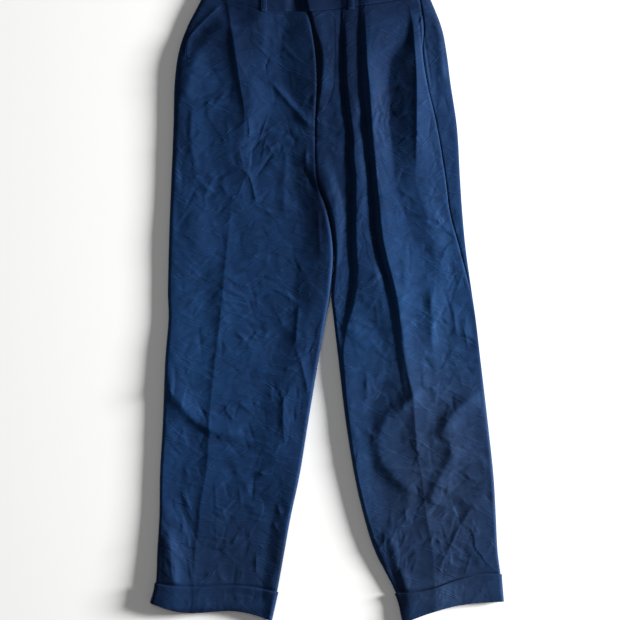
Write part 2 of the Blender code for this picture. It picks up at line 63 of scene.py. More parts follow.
camera_data = bpy.data.cameras.new("camera")
camera_data.sensor_width = SENSOR
camera_data.lens = SENSOR * (CAMERA_HEIGHT - CLOTH_TOP) / FRAME_SIDE
camera = bpy.data.objects.new("camera", camera_data)
camera.location = (*FRAME_MIDDLE, CAMERA_HEIGHT)
scene.collection.objects.link(camera)
scene.camera = camera
print("lens in mm:", round(camera_data.lens, 1))

# %% [markdown]
# Dark cloth shows its creases only when light crosses it at a low angle. The window in
# the photograph is on the right and a little above, so each fold is bright on its right
# slope and dark on its left one. One soft box stands there. A second, weak one overhead
# and a pale sky keep the shadows open.

# %% Lights
def soft_box(name, place, aim, side, power):
    """A square lamp at place that faces aim. Its axis is the line between the two."""
    lamp = bpy.data.lights.new(name, "AREA")
    lamp.size = side
    lamp.energy = power
    made = bpy.data.objects.new(name, lamp)
    away = np.subtract(place, aim)
    flat = math.hypot(away[0], away[1])
    made.location = place
    made.rotation_euler = (math.atan2(flat, away[2]), 0.0, math.atan2(away[1], away[0]) + math.pi / 2)
    scene.collection.objects.link(made)
    return made


SKY = 0.13
soft_box("window", (5.4, 0.6, 1.4), (0.0, 0.0, 0.0), 1.3, 1250.0)
soft_box("overhead", (-0.3, 0.2, 2.8), (0.0, 0.0, 0.0), 1.6, 9.0)

world = bpy.data.worlds.new("pale room")
scene.world = world
world.use_nodes = True
sky = world.node_tree.nodes["Background"].inputs
sky["Color"].default_value = (1.0, 1.0, 1.0, 1.0)
sky["Strength"].default_value = SKY
scene.view_settings.view_transform = "Standard"

# %% [markdown]
# A finish is a small network of shader nodes. One function adds any node, sets its inputs
# and links them, and short ones stand for the four kinds that are used most. Colours are
# written as sRGB hex values, and turned into the linear ones that the shader wants.

# %% Helpers for materials
def linear(code):
    """sRGB hex to linear: c / 12.92 in the dark, ((c + 0.055) / 1.055) ** 2.4 above it."""
    parts = np.array([int(code[i:i + 2], 16) for i in (1, 3, 5)]) / 255.0
    low = parts / 12.92
    high = ((parts + 0.055) / 1.055) ** 2.4
    return (*np.where(parts <= 0.04045, low, high).tolist(), 1.0)


def feed(material, node, inputs):
    """Give a node its inputs. Each is a number, a colour, or a socket to link to."""
    for name, value in inputs.items():
        socket = node.inputs[name]
        if isinstance(value, bpy.types.NodeSocket):
            material.node_tree.links.new(value, socket)
        else:
            socket.default_value = value


def add_node(material, kind, output, inputs=None, **settings):
    """Add a shader node with its settings and inputs, and give back one of its outputs."""
    node = material.node_tree.nodes.new("ShaderNode" + kind)
    for name, value in settings.items():
        setattr(node, name, value)
    feed(material, node, inputs or {})
    return node.outputs[output]


def calculate(material, operation, *values):
    """A Math node, on numbers or sockets."""
    return add_node(material, "Math", "Value", dict(enumerate(values)), operation=operation)


def remap(material, value, low=0.0, high=1.0, to_low=0.0, to_high=1.0):
    """The range from low to high becomes the one from to_low to to_high, and ends there."""
    return add_node(material, "MapRange", "Result", {
        "Value": value, "From Min": low, "From Max": high, "To Min": to_low, "To Max": to_high})


def blend(material, share, low, high):
    """Colour low where share is 0 and high where it is 1. Each is a hex code or a socket."""
    low, high = (linear(c) if isinstance(c, str) else c for c in (low, high))
    return add_node(material, "Mix", "Result", {"Factor": share, "A": low, "B": high},
                    data_type="RGBA")


def bump(material, strength, depth, height):
    """A normal that stands for a relief of up to depth, in metres."""
    return add_node(material, "Bump", "Normal", {
        "Strength": strength, "Distance": depth, "Height": height})


def new_material(name):
    """An empty material and its Principled shader."""
    made = bpy.data.materials.new(name)
    made.use_nodes = True
    return made, made.node_tree.nodes["Principled BSDF"]


WAVE = 0.31                    # metres from crest to crest of a wave texture at scale 1
print("mid navy in linear light:", [round(part, 4) for part in linear("#0f2749")[:3]])


# %% [markdown]
# The floor is plain and nearly white, like a sheet of background paper. It lies a hair
# under the cloth, so that the two never share a plane.

# %% Floor
FLOOR_SIDE = 9.0
FLOOR_DROP = 0.4 * MM
floor_mesh = bpy.data.meshes.new("floor")
half_side = FLOOR_SIDE / 2
floor_mesh.from_pydata(
    [(x * half_side, y * half_side, -FLOOR_DROP) for x, y in ((-1, -1), (1, -1), (1, 1), (-1, 1))],
    [], [(0, 1, 2, 3)])
floor = bpy.data.objects.new("floor", floor_mesh)
scene.collection.objects.link(floor)
paper, paper_shader = new_material("background paper")
paper_grain = add_node(paper, "TexNoise", "Fac", {"Scale": 3.0, "Detail": 2.0})
feed(paper, paper_shader, {
    "Base Color": blend(paper, paper_grain, "#f4f4f3", "#f8f8f7"), "Roughness": 0.9})
floor_mesh.materials.append(paper)
print("floor:", FLOOR_SIDE, "m wide,", FLOOR_DROP / MM, "mm under the cloth")

# %% [markdown]
# Everything about the cloth's shape is in millimetres. X runs to the wearer's left, Y to
# the waist and Z up. Eighteen sections cross each leg, from the hem to the top of the
# waistband, and a place along a leg, v, is counted in sections. The tables are the ones
# that the solids were made from, so the cloth lies where the solids are.

# %% Sections and outlines
SECTIONS = np.array((
    # side, top, lift, join, back_rise
    (8, 9.6, 1.9, 0, 0),    # hem
    (9, 10, 1.9, 0, 0),    # cuff top
    (10, 11, 0, 0, 0),    # shin
    (11, 11.8, 0, 0, 0),    # calf
    (12, 12.2, 0, 0, 0),    # below knee
    (12, 12.4, 0, 0, 0),    # knee
    (12, 12.6, 0, 0, 0),    # above knee
    (12, 13, 0, 0, 0),    # thigh
    (12, 13.4, 0, 0, 0),    # legs part
    (12, 13.8, 0, 0, 0),    # upper thigh
    (12, 14.2, 0, 0.1, 0),    # fork
    (12, 14.4, 0, 1, 0),    # crotch
    (13, 14.6, 0, 1, 0),    # fly end
    (13, 14.8, 0, 1, 0),    # hip
    (13, 14.8, 0, 1, 4),    # fly belly
    (12, 14.4, 0.4, 1, 14),    # pocket
    (11, 14, 1.5, 1, 35),    # waist seam
    (10, 14, 1.5, 1, 34),    # waist top
))
OUTLINES = {
    "right": np.array((
        # out_x, out_y, in_x, in_y, seam_in, bow, swing
        (-299, -506, -95, -536, 0, 0, -7.6),
        (-291, -473, -84.5, -488, 0, 2, -4),
        (-288.5, -416, -72, -419, 0, 0, 0),
        (-285, -356, -61, -358, 0, 0, 0),
        (-284, -288, -46, -288, 0, 0, 0),
        (-279, -195, -31, -195, 0, 0, 0),
        (-275, -93, -14, -93, 0, 0, 0),
        (-269.5, -25, -2, -25, 0, 0, 0),
        (-270.5, 23, 7, 23, 0, 0, 0),
        (-269, 94, 12, 94, 0, 0, 0),
        (-267, 157, 3, 157, 0, 0, 0),
        (-264.5, 217, -17, 217, 0, 0, 0),
        (-261, 302, -20, 302, 0, 0, 0),
        (-259, 377, -17.4, 377, 0, 0, 0),
        (-252, 431, -20, 428, 0, 0, 0),
        (-237, 475, -27, 475, 0, 0, 0),
        (-210, 528, -33, 499, 0, -8, 0),
        (-195, 569, -41, 540, 0, -8, 0),
    )),
    "left": np.array((
        (300, -504, 131, -540, 0, 9.9, 0),
        (296, -458, 118, -490, 0, 2.5, 5),
        (291, -416, 82.5, -419, 0, 0, 0),
        (288, -356, 63, -358, 0, 0, 0),
        (284, -288, 47, -288, 0, 0, 0),
        (274, -195, 32, -195, 0, 0, 0),
        (262, -93, 20, -93, 0, 0, 0),
        (254, -25, 12, -25, 0, 0, 0),
        (247, 23, 7.6, 23, 2, 0, 0),
        (237, 94, 12.6, 94, 10, 0, 0),
        (231, 157, 3.6, 157, 21, 0, 0),
        (227, 217, -16.4, 217, 25, 0, 0),
        (222, 302, -19.4, 302, 34, 0, 0),
        (211, 377, -10.5, 377, 40, 0, 0),
        (204, 431, -8.9, 428, 41, 0, 0),
        (195, 475, -22.5, 475, 30, 0, 0),
        (174, 528, -28.5, 499, 17, -3, 0),
        (160, 569, -38, 540, 12, -3, 0),
    )),
}
SIGNS = {"right": 1.0, "left": -1.0}
CENTRE = np.array([0.5, 16.8, 0.0])    # the origin, in the tables' coordinates
SEAM_GAP = 0.3
EDGE_SHARE = 0.45          # height of the side edge as a share of the top's height
EDGE_PLACES = (1.0, 3.0, 9.0, 12.0)
EDGE_SHARPNESS = (0.45, 0.45, 0.5, 0.9)    # the cloth turns over more tightly than a solid
LEGS_APART = 0.6
BACK_SEAM_X = -18.0
CUFF_TOP, LEGS_PART, WAIST_SEAM = 1, 8, 16     # numbers of sections
places = np.arange(len(SECTIONS))
print("sections:", len(SECTIONS))

# %% [markdown]
# Two curves shape every surface. A smooth one runs through the values of a table, and a
# quarter circle rounds the cloth over at a side edge, where front and back meet.

# %% Curves and sections
def smooth(stations, values, at):
    """Cubics through the values. Each one's end slopes are the mean of its chords'."""
    at = np.clip(at, stations[0], stations[-1])
    slopes = np.gradient(values, stations)
    index = np.clip(np.searchsorted(stations, at, side="right") - 1, 0, len(stations) - 2)
    span = stations[index + 1] - stations[index]
    t = (at - stations[index]) / span
    return (values[index] * (1 + 2 * t) * (1 - t) ** 2 + values[index + 1] * t * t * (3 - 2 * t)
            + slopes[index] * span * t * (1 - t) ** 2
            - slopes[index + 1] * span * t * t * (1 - t))


def rounded(share):
    """A quarter circle, sqrt(s (2 - s)): steep at 0 and level from 1 on."""
    share = np.clip(share, 0.0, 1.0)
    return np.sqrt(share * (2.0 - share))


def eased(share):
    """0 below 0, 1 above 1, and 3 s^2 - 2 s^3 between."""
    share = np.clip(share, 0.0, 1.0)
    return share * share * (3.0 - 2.0 * share)


def section(half, v):
    """The sizes of one leg's section at place v."""
    names = ("out_x", "out_y", "in_x", "in_y", "seam_in", "bow", "swing")
    size = {name: smooth(places, OUTLINES[half][:, i], v) for i, name in enumerate(names)}
    names = ("side", "top", "lift", "join", "back_rise")
    size.update({name: np.interp(v, places, SECTIONS[:, i]) for i, name in enumerate(names)})
    size["seam_in"] = np.maximum(size["seam_in"], 0.0)
    size["side"] = size["side"] * np.interp(v, EDGE_PLACES, EDGE_SHARPNESS)
    if half == "left":
        beside = smooth(places, OUTLINES["right"][:, 2], v) + LEGS_APART
        size["in_x"] = np.maximum(size["in_x"], beside)
    sign = SIGNS[half]
    size["width"] = (size["in_x"] - size["out_x"]) * sign
    back_x = BACK_SEAM_X - sign * SEAM_GAP / 2
    size["back_x"] = size["in_x"] + (back_x - size["in_x"]) * size["join"]
    size["back_width"] = (size["back_x"] - size["out_x"]) * sign
    return size


def lengths():
    """Distance of each section from the hem: the mean of the four edges."""
    steps = sum(np.hypot(np.diff(o[:, i]), np.diff(o[:, i + 1])) / 4
                for o in OUTLINES.values() for i in (0, 2))
    return np.concatenate([[0.0], np.cumsum(steps)])


along_leg = lengths()
print("hem to waist in mm:", round(float(along_leg[-1]), 1))

# %% [markdown]
# The broad swells come first. Laid flat, the cloth still rolls: it dips beside the pleats,
# climbs towards the fly, and rises to one high roll in the left thigh. They were read off
# the photograph, so their points are written in its own pixels, and one function turns
# those into millimetres. Each row of the table is a section across both legs: where its
# ridges and valleys lie, and how far above or below the plain cloth. Between two of them
# the surface runs in an eased slope.

# %% Broad swells
PIXEL = 1.7                          # mm of cloth to a pixel of the picture
PICTURE_ORIGIN = (326.75, 305.5)     # where the tables' x and y are 0


def on_cloth(points):
    """Pixels to mm: x = (px - origin) * pixel and y = (origin - py) * pixel."""
    points = np.asarray(points, float)
    return np.stack([points[..., 0] - PICTURE_ORIGIN[0],
                     PICTURE_ORIGIN[1] - points[..., 1]], axis=-1) * PIXEL


# py, then px and height in mm. Right leg: side ridge, side valley, pleat ridge, thigh
# valley, its inner side, ridge at the centre, edge of the fly or leg. Left leg: valley
# beside the fly, high roll, pleat valley, outer roll, its foot, side.
SWELLS = (
    (0, 200, -3.5, 222, -4, 258, -0.5, 279, -1.5, 290, -1, 300, 0.5, 309, 1.5,
     333, -0.5, 368, 3.5, 404, -0.4, 410, -0.4, 420, -2, 430, -3),
    (12, 199, -3.5, 222, -4, 262, -0.3, 279, -2.0, 290, -1.5, 304, 1.6, 312, 2.0,
     333, -0.5, 370, 4, 407, -0.8, 413, -0.8, 422, -2, 433, -3),
    (36, 188, -4.0, 199, -4.0, 240, 0.5, 274, -2.8, 282, -3.6, 311, 2.0, 320, 1.2,
     331, 0, 370, 5, 408, -2.8, 414, -0.4, 430, -3, 440, -4),
    (60, 194, -1.5, 209, -3.5, 239, -1.0, 268, -3.8, 280, -4.6, 315, 2.8, 323, 1.2,
     332, -0.2, 366, 5.4, 392, -3.4, 413, 2.4, 436, -4, 445, -5),
    (84, 190, -1.8, 217, -4.5, 248, -1.8, 273, -5, 284, -5.4, 316, 2.2, 322, 1.6,
     331, -0.2, 370, 5.4, 389, -3.8, 415, 3.8, 437, -4, 449, -5.5),
    (108, 192, -2, 213, -3.8, 249, -0.3, 274, -4.8, 296, -4.8, 314, -1.0, 318, -1,
     326, -0.8, 371, 5.7, 389, -3.6, 415, 3.8, 437, -4, 451, -5.5),
    (132, 192, -1.8, 212, -3.8, 241, -0.8, 262, -4.6, 284, -4.6, 313, -1, 318, -0.6,
     326, -0.6, 372, 6.0, 390, -2.6, 415, 4.0, 437, -3.8, 453, -5.5),
    (156, 190, -2, 210, -4.4, 240, -2, 257, -4, 289, -4.2, 318, 1.4, 322, 1.5,
     330, 1, 375, 6.2, 393, -0.8, 415, 2.8, 441, -4.2, 454, -5.5),
    (180, 184, -2.8, 217, -5, 247, -3.4, 259, -4.4, 293, -5.2, 325, 2.6, 329, 2.6,
     338, 0.4, 376, 6.2, 396, 0.2, 415, 1.8, 443, -4.6, 456, -5.6),
    (204, 192, -2.6, 213, -5, 240, -4, 261, -5, 298, -5.0, 331, 3.0, 335, 3.2,
     345, -0.2, 381, 6.0, 402, 0.2, 422, 1.6, 448, -5, 458, -5.8),
    (228, 194, -2, 218, -5, 240, -5, 262, -5, 300, -4.4, 331, 3.2, 335, 3.4,
     345, 0, 382, 5.8, 409, -0.6, 430, 0.4, 452, -5, 461, -5.8),
    (252, 197, -2, 215, -4.2, 240, -4.2, 262, -4.4, 302, -3.2, 329, 3.2, 333, 3.4,
     343, 0.4, 385, 6.0, 421, -2, 435, -1.2, 453, -5.5, 464, -6),
    (276, 182, -2.4, 201, -4, 220, -3, 259, -4.2, 294, -3.4, 324, 2.6, 328, 3.0,
     339, 0.4, 391, 5.8, 425, -1.6, 434, -2, 458, -6, 467, -6.2),
    (300, 181, -2, 206, -4.2, 219, -3.4, 259, -6, 288, -5.2, 318, 0, 327, 0.3,
     344, -1.2, 397, 4.8, 417, -0.4, 426, -0.8, 455, -5.8, 470, -6.2),
    (324, 177, -1, 204, -4.0, 219, -3.4, 261, -5.8, 285, -4.8, 306, -0.8, 320, -0.6,
     372, -2.2, 400, 3.4, 417, -0.6, 427, -0.6, 450, -6, 470, -6.4),
    (348, 177, 0, 202, -3.4, 215, -3.2, 262, -5.6, 276, -5.2, 306, 0, 316, -1.2,
     383, -1.4, 402, 2.4, 418, -0.8, 424, -1.2, 447, -6.2, 473, -5.6),
    (372, 176, 0.5, 200, -2.8, 215, -2.6, 251, -4.2, 266, -3.8, 298, -0.4, 309, -1,
     386, -1.4, 408, 2.0, 424, -0.6, 432, -2.4, 449, -4.8, 476, -4.6),
    (396, 178, 0.2, 200, -2.4, 210, -2.4, 244, -3.4, 262, -3.0, 288, -0.2, 303, -1.0,
     376, -2.8, 411, 1.6, 424, 0.2, 436, -1.4, 451, -2.4, 478, -3),
    (444, 163, -0.3, 190, -3.0, 204, -2.8, 232, -3.0, 254, -2.8, 279, 0, 294, -0.4,
     366, -2.4, 417, 1.2, 426, 0.2, 434, 0.2, 449, 1.5, 476, -2),
    (492, 162, 0, 181, -2.8, 203, -2.4, 232, -3.0, 250, -2.4, 277, -0.2, 290, 1.6,
     382, -3, 410, 0.2, 418, -0.4, 434, 0.6, 462, -2, 485, -1),
    (540, 168, 1.8, 191, -3.4, 205, -3.4, 226, -2.8, 242, -1.8, 268, -0.6, 281, 2.8,
     382, -1.8, 403, 0, 416, 0, 434, 0.8, 456, 0.4, 487, -0.6),
    (588, 174, 3.6, 192, 0, 206, -1, 230, -2, 243, -1.4, 262, -0.6, 273, 2.8,
     398, -3.5, 410, 0, 420, 0.4, 435, 1.2, 462, -1.8, 488, -2),
)
SWELL_EASE = 0.55                    # 0 joins the lines by straight slopes, 1 by round ones


def swell_height(x, y):
    """Along each line, height and x are smooth in y. Across them the height goes from
    line to line as low + (high - low) * (t + ease * (3 t^2 - 2 t^3 - t))."""
    table = np.array(SWELLS)[::-1]
    rows = on_cloth(np.stack([table[:, 0] * 0, table[:, 0]], axis=-1))[:, 1]
    lines = [(smooth(rows, (table[:, i] - PICTURE_ORIGIN[0]) * PIXEL, y),
              smooth(rows, table[:, i + 1], y)) for i in range(1, table.shape[1], 2)]
    total = lines[0][1] + 0 * x
    for (low_x, low), (high_x, high) in zip(lines, lines[1:]):
        t = np.clip((x - low_x) / (high_x - low_x), 0.0, 1.0)
        total = total + (high - low) * (t + SWELL_EASE * (3 * t ** 2 - 2 * t ** 3 - t))
    return total


print("sections of the swells:", len(SWELLS), "with", len(SWELLS[0]) // 2, "lines")

# %% [markdown]
# On the swells lie the sharp folds: the pressed creases, the pleats that spring open below
# the waist, and two deep grooves where the cloth of the left front has folded in. Each
# runs down the leg through stations of x, y and height. A power near 1 gives the sharp
# crest of a pressed crease, and one near 2 a soft roll. The two widths differ, because
# most folds here lean to one side.

# %% Large folds
# name: power, reach to the left, reach to the right, stations (px, py, height)
FOLDS = {
    "right": {
        "front crease": (1.1, 6, 18, (
            (233, 180, 0), (229, 230, 1.0), (224, 276, 1.4), (220, 320, 1.5),
            (215, 360, 1.4), (211.5, 393, 1.3), (208.6, 427, 1.3), (206.6, 470, 1.4),
            (200.3, 504, 1.4), (198.9, 523, 1.4), (195.8, 544, 1.4), (193.5, 585, 1.0),
            (192.6, 600, 0.8))),
        "pleat step": (1.2, 5, 20, (
            (227, 0, 1.0), (230, 20, 2.4), (233, 40, 3.6), (236, 62, 3.6), (240, 85, 3.0),
            (244, 110, 1.6), (244, 135, 0.6), (242, 160, 0))),
        "fall at the waist": (1.5, 34, 60, (
            (309, -21, 0), (309, 0, -4.4), (310, 8, -4.0), (311, 18, -1.5), (312, 30, 0))),
    },
    "left": {
        "inner groove": (1.3, 8, 3.2, (
            (341, 11, -1), (341.5, 40, -4), (343, 90, -5), (346.4, 118, -5), (349, 140, -5),
            (348.0, 157, -5), (350.6, 177, -5), (350.6, 199, -5), (350.6, 230, -5),
            (351, 258, -5), (352.4, 276, -4.4), (350, 295, -3.4), (346, 315, -1.4),
            (342, 340, 0))),
        "inner lip": (1.3, 3.0, 15, (
            (345, 11, 0), (346, 40, 1.0), (348, 90, 1.4), (351.4, 118, 1.6), (354, 140, 1.8),
            (354, 157, 2.2), (356, 177, 2.8), (356, 199, 2.8), (356, 230, 2.8),
            (357, 258, 2.0), (359, 276, 0))),
        "outer groove": (1.3, 9.0, 3.8, (
            (358.5, 8, -1), (359.5, 40, -4.4), (361.4, 90, -5.6), (364.6, 118, -7),
            (367, 146, -7.6),
            (370, 174, -8), (372.5, 202, -8), (374.5, 230, -8.4), (379.5, 256, -8.4),
            (385.5, 276, -8.0), (391.6, 299, -6.4), (395.5, 324, -4.0), (397.5, 348, -2.8),
            (399, 366, -2.0), (401, 381, -1.2), (405, 403, 0))),
        "outer lip": (1.2, 4.0, 16, (
            (364.5, 10, 0.5), (365.5, 30, 1.6), (367, 60, 2.2), (369.4, 90, 2.8),
            (371.5, 118, 3.0),
            (373.5, 146, 2.8), (376.5, 174, 2.6), (379, 202, 2.6), (381.5, 230, 2.6),
            (387, 258, 2.4), (392.5, 279, 2.2), (397, 300, 1.6), (402, 341, 0))),
        "front crease": (1.1, 9, 16, (
            (392.6, 270, 0), (397, 300, 1.0), (402.5, 332, 1.8), (406, 366, 1.9),
            (412.5, 391, 2.0), (414.4, 417, 2.0), (417.5, 453, 1.8), (422, 479, 1.6),
            (425, 505, 1.6), (427, 519, 1.6), (432, 545, 1.4), (435, 590, 1.0),
            (436, 600, 0.8))),
        "pleat lip": (1.2, 3.4, 14, (
            (408, 0, 0), (410.5, 12, 0.8), (413.5, 36, 2.0), (415.5, 60, 2.6), (416.5, 84, 2.6),
            (416.5, 108, 2.6), (416.5, 132, 2.2), (416, 156, 1.0), (416, 180, 0))),
        "inner edge": (1.4, 6, 30, (
            (359, 258, 0), (358, 276, 2.0), (355, 300, 3.0), (348, 324, 3.0),
            (344, 348, 3.0), (345.5, 380, 3.0), (349.5, 420, 3.0),
            (355, 460, 3.0), (363.5, 500, 2.8), (375.5, 540, 2.4), (386, 565, 1.4),
            (397, 590, 0.6))),
    },
}


def fold_height(half, x, y):
    """Sum of the folds: height * exp(-(distance across / width) ** power)."""
    total = np.zeros(np.broadcast(x, y).shape)
    for power, low_side, high_side, stations in FOLDS[half].values():
        stations = np.array(stations, float)[::-1]
        xs, ys = on_cloth(stations[:, :2]).T
        across = x - smooth(ys, xs, y)
        width = np.where(across < 0, low_side, high_side)
        total += np.interp(y, ys, stations[:, 2]) * np.exp(-(np.abs(across) / width) ** power)
    return total


print("large folds:", sum(len(folds) for folds in FOLDS.values()))

# %% [markdown]
# The outer face of the front and the underside of the back are functions of a place
# along the leg and a share of its width, counted from the silhouette. Both round over
# at the side edge. The front can be asked for with its large folds or plain.

# %% Surfaces of the front and the back
def row_height(size, share):
    """The y of a point of a section, which is a line bent by a half and a whole sine."""
    bend = size["bow"] * np.sin(math.pi * share) + size["swing"] * np.sin(2 * math.pi * share)
    return size["out_y"] + (size["in_y"] - size["out_y"]) * share + bend


def closing(size, width, inset):
    """How far the section has closed: 0 at its edges and 1 away from them."""
    inner = rounded((width - inset) / size["side"])
    inner = size["join"] + (1 - size["join"]) * inner
    return rounded(inset / size["side"]) * inner


LOWEST, LOWEST_SOFT = 3.4, 0.5       # mm: a fold never reaches the back, under it


def front(half, v, share, folds=True):
    """Edge height + (top + folds - edge height) * closing, all above the lift. The top
    has a soft lower limit, low + log(1 + exp(top - low))."""
    size = section(half, v)
    inset = share * size["width"]
    x = size["out_x"] + SIGNS[half] * inset
    y = row_height(size, share)
    edge = size["top"] * EDGE_SHARE + SEAM_GAP / 2
    top = size["top"] + (fold_height(half, x, y) + swell_height(x, y) if folds else 0.0)
    top = LOWEST + np.logaddexp(0.0, (top - LOWEST) / LOWEST_SOFT) * LOWEST_SOFT
    z = edge + (top - edge) * closing(size, size["width"], inset)
    return np.stack([x, y, z + size["lift"]], axis=-1)


def back(half, v, share):
    """The underside: edge height * (1 - closing). Its centre reaches higher."""
    size = section(half, v)
    inset = share * size["back_width"]
    x = size["out_x"] + SIGNS[half] * inset
    bend = size["bow"] * (1 - size["join"]) * np.sin(math.pi * share)
    bend = bend + size["swing"] * np.sin(2 * math.pi * share)
    y = size["out_y"] + (size["in_y"] + size["back_rise"] - size["out_y"]) * share + bend
    edge = size["top"] * EDGE_SHARE - SEAM_GAP / 2
    z = edge * (1 - closing(size, size["back_width"], inset))
    return np.stack([x, y, z + size["lift"]], axis=-1)


def side_edge(half, v, turn, folds=True):
    """Round the side edge: inset = side * turn^2, under below 0 and over above 0."""
    size = section(half, v)
    inset = size["side"] * turn ** 2
    under = back(half, v, inset / size["back_width"])
    over = front(half, v, inset / size["width"], folds)
    over[..., 2] -= SEAM_GAP * (1 - rounded(np.abs(turn)))
    return np.where((turn < 0)[..., None], under, over)


def normals(surface, half, v, across, **more):
    """Unit normals away from the leg, from small steps along and across the surface."""
    small = 1e-5
    along = surface(half, v + small, across, **more) - surface(half, v - small, across, **more)
    over = surface(half, v, across + small, **more) - surface(half, v, across - small, **more)
    normal = np.cross(over, along) * SIGNS[half]
    if surface is back:
        normal = -normal
    return normal / np.linalg.norm(normal, axis=-1, keepdims=True)


knee = front("right", np.array([6.0]), np.array([0.4]))[0]
print("a point of the right knee in mm:", [round(float(c), 1) for c in knee])
